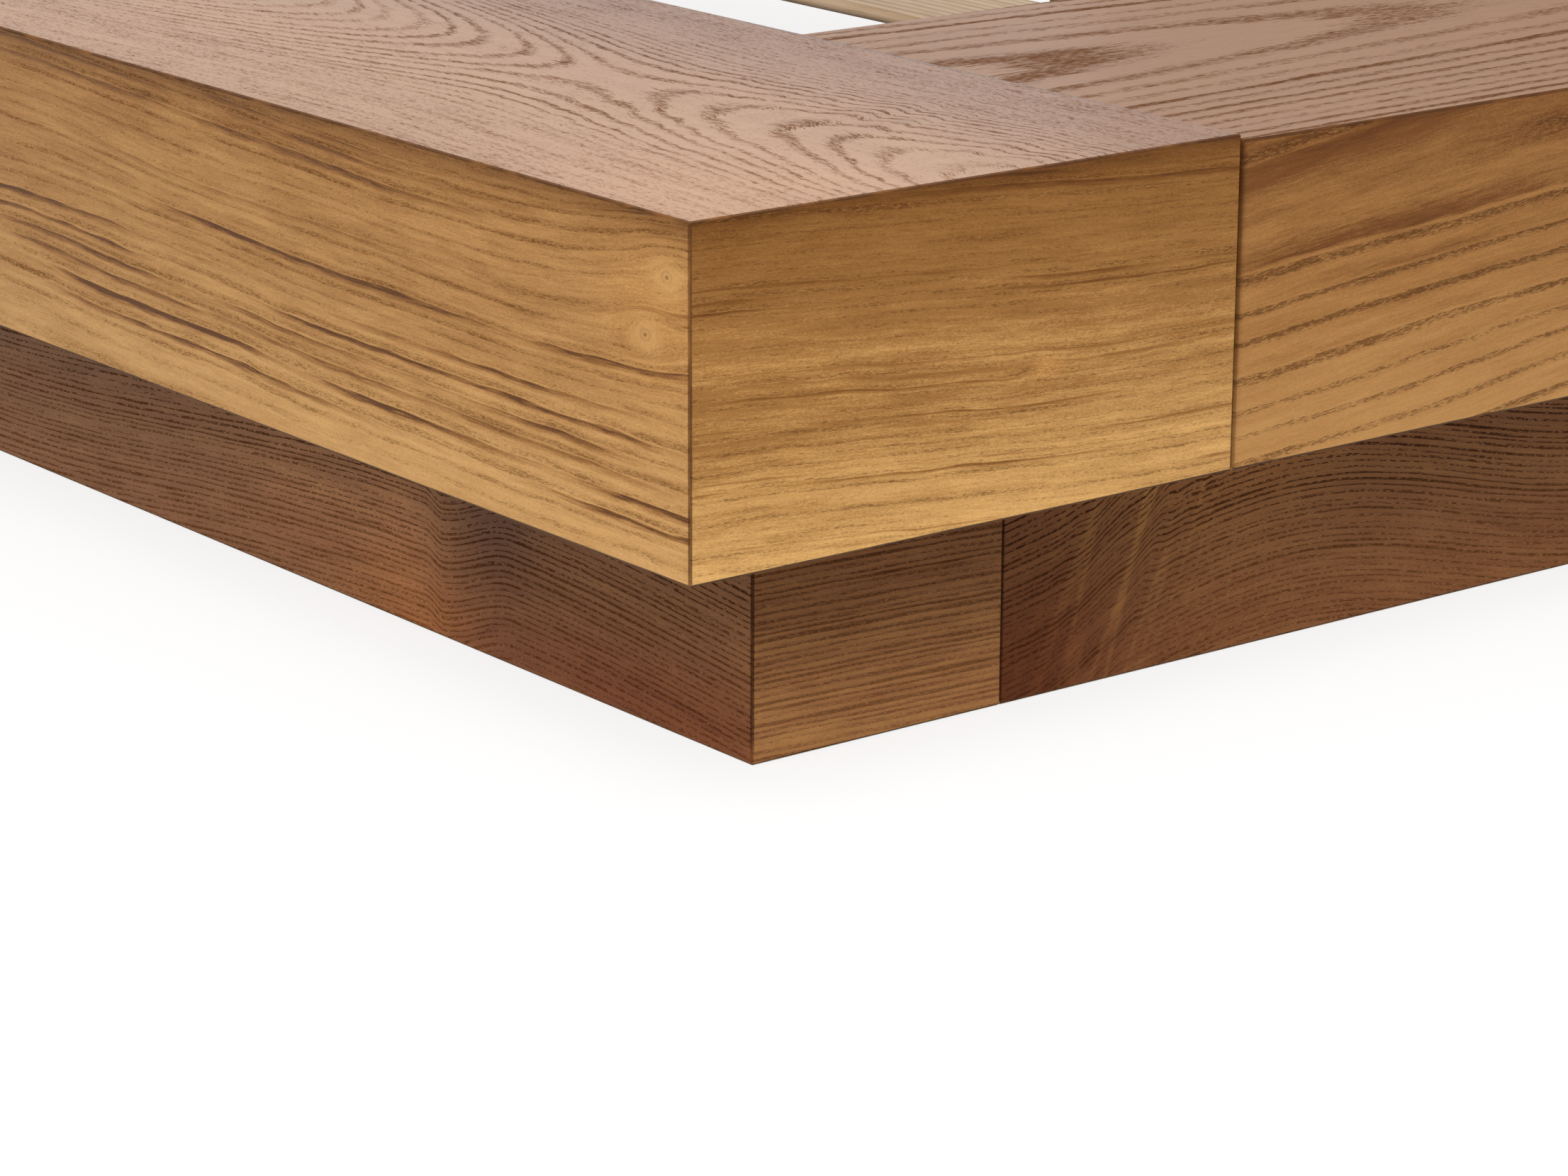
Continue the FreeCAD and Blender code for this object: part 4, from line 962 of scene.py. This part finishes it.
def make_area_light(name, place, target, size, watts):
    data = bpy.data.lights.new(name, "AREA")
    data.size = size
    data.energy = watts
    light = bpy.data.objects.new(name, data)
    light.location = place
    light.rotation_euler = (Vector(target) - Vector(place)).to_track_quat("-Z", "Y").to_euler()
    bpy.context.scene.collection.objects.link(light)


def make_lights():
    make_area_light("key", place=(4.0, -3.9, 3.0), target=(0.9, -0.8, 0.2), size=2.5, watts=265.0)
    make_area_light("fill", place=(-2.4, 3.4, 4.6), target=(0.0, 0.3, 0.3), size=2.5, watts=80.0)


def seen_directly(tree):
    """1 for rays from the camera, a mirror-like surface or glass, 0 for the light that falls on things."""
    path = tree.nodes.new("ShaderNodeLightPath")
    total = path.outputs["Is Camera Ray"]
    for name in ("Is Glossy Ray", "Is Transmission Ray"):
        either = tree.nodes.new("ShaderNodeMath")
        either.operation = "MAXIMUM"
        tree.links.new(total, either.inputs[0])
        tree.links.new(path.outputs[name], either.inputs[1])
        total = either.outputs[0]
    return total


def by_ray(tree, socket, lighting, seen):
    """Sets a strength: one value for the light that falls on things, another for what is seen."""
    choice = tree.nodes.new("ShaderNodeMapRange")
    choice.inputs["To Min"].default_value = lighting
    choice.inputs["To Max"].default_value = seen
    tree.links.new(seen_directly(tree), choice.inputs["Value"])
    tree.links.new(choice.outputs["Result"], socket)


WHITE = (1.0, 1.0, 1.0, 1.0)
WORLD_LIGHT = 0.3
WORLD_SEEN = 1.0


def make_world():
    world = bpy.data.worlds.new("studio")
    world.use_nodes = True
    background = world.node_tree.nodes["Background"]
    background.inputs["Color"].default_value = WHITE
    by_ray(world.node_tree, background.inputs["Strength"], WORLD_LIGHT, WORLD_SEEN)
    bpy.context.scene.world = world


FLOOR_HALF = 30.0
FLOOR_DROP = 0.0005                    # keeps the floor just below the plinth's underside
FLOOR_GREY = (0.25, 0.25, 0.25, 1.0)
FLOOR_ROUGHNESS = 0.9
FLOOR_SEEN = 0.8


def make_floor():
    half = FLOOR_HALF
    corners = [(-half, -half, 0), (half, -half, 0), (half, half, 0), (-half, half, 0)]
    mesh = bpy.data.meshes.new("floor")
    mesh.from_pydata(corners, [], [(0, 1, 2, 3)])
    floor = bpy.data.objects.new("floor", mesh)
    floor.location.z = -FLOOR_DROP
    bpy.context.scene.collection.objects.link(floor)
    material = bpy.data.materials.new("floor")
    material.use_nodes = True
    shader = material.node_tree.nodes["Principled BSDF"]
    shader.inputs["Base Color"].default_value = FLOOR_GREY
    shader.inputs["Roughness"].default_value = FLOOR_ROUGHNESS
    shader.inputs["Emission Color"].default_value = WHITE
    by_ray(material.node_tree, shader.inputs["Emission Strength"], 0.0, FLOOR_SEEN)
    mesh.materials.append(material)


make_camera()
dress_foot_rail()
dress_head_rail()
dress_side_rails()
dress_plinth()
dress_headboard()
dress_timber()
dress_hardware()
make_straps()
make_lights()
make_world()
make_floor()
bpy.context.scene.view_settings.view_transform = "Standard"
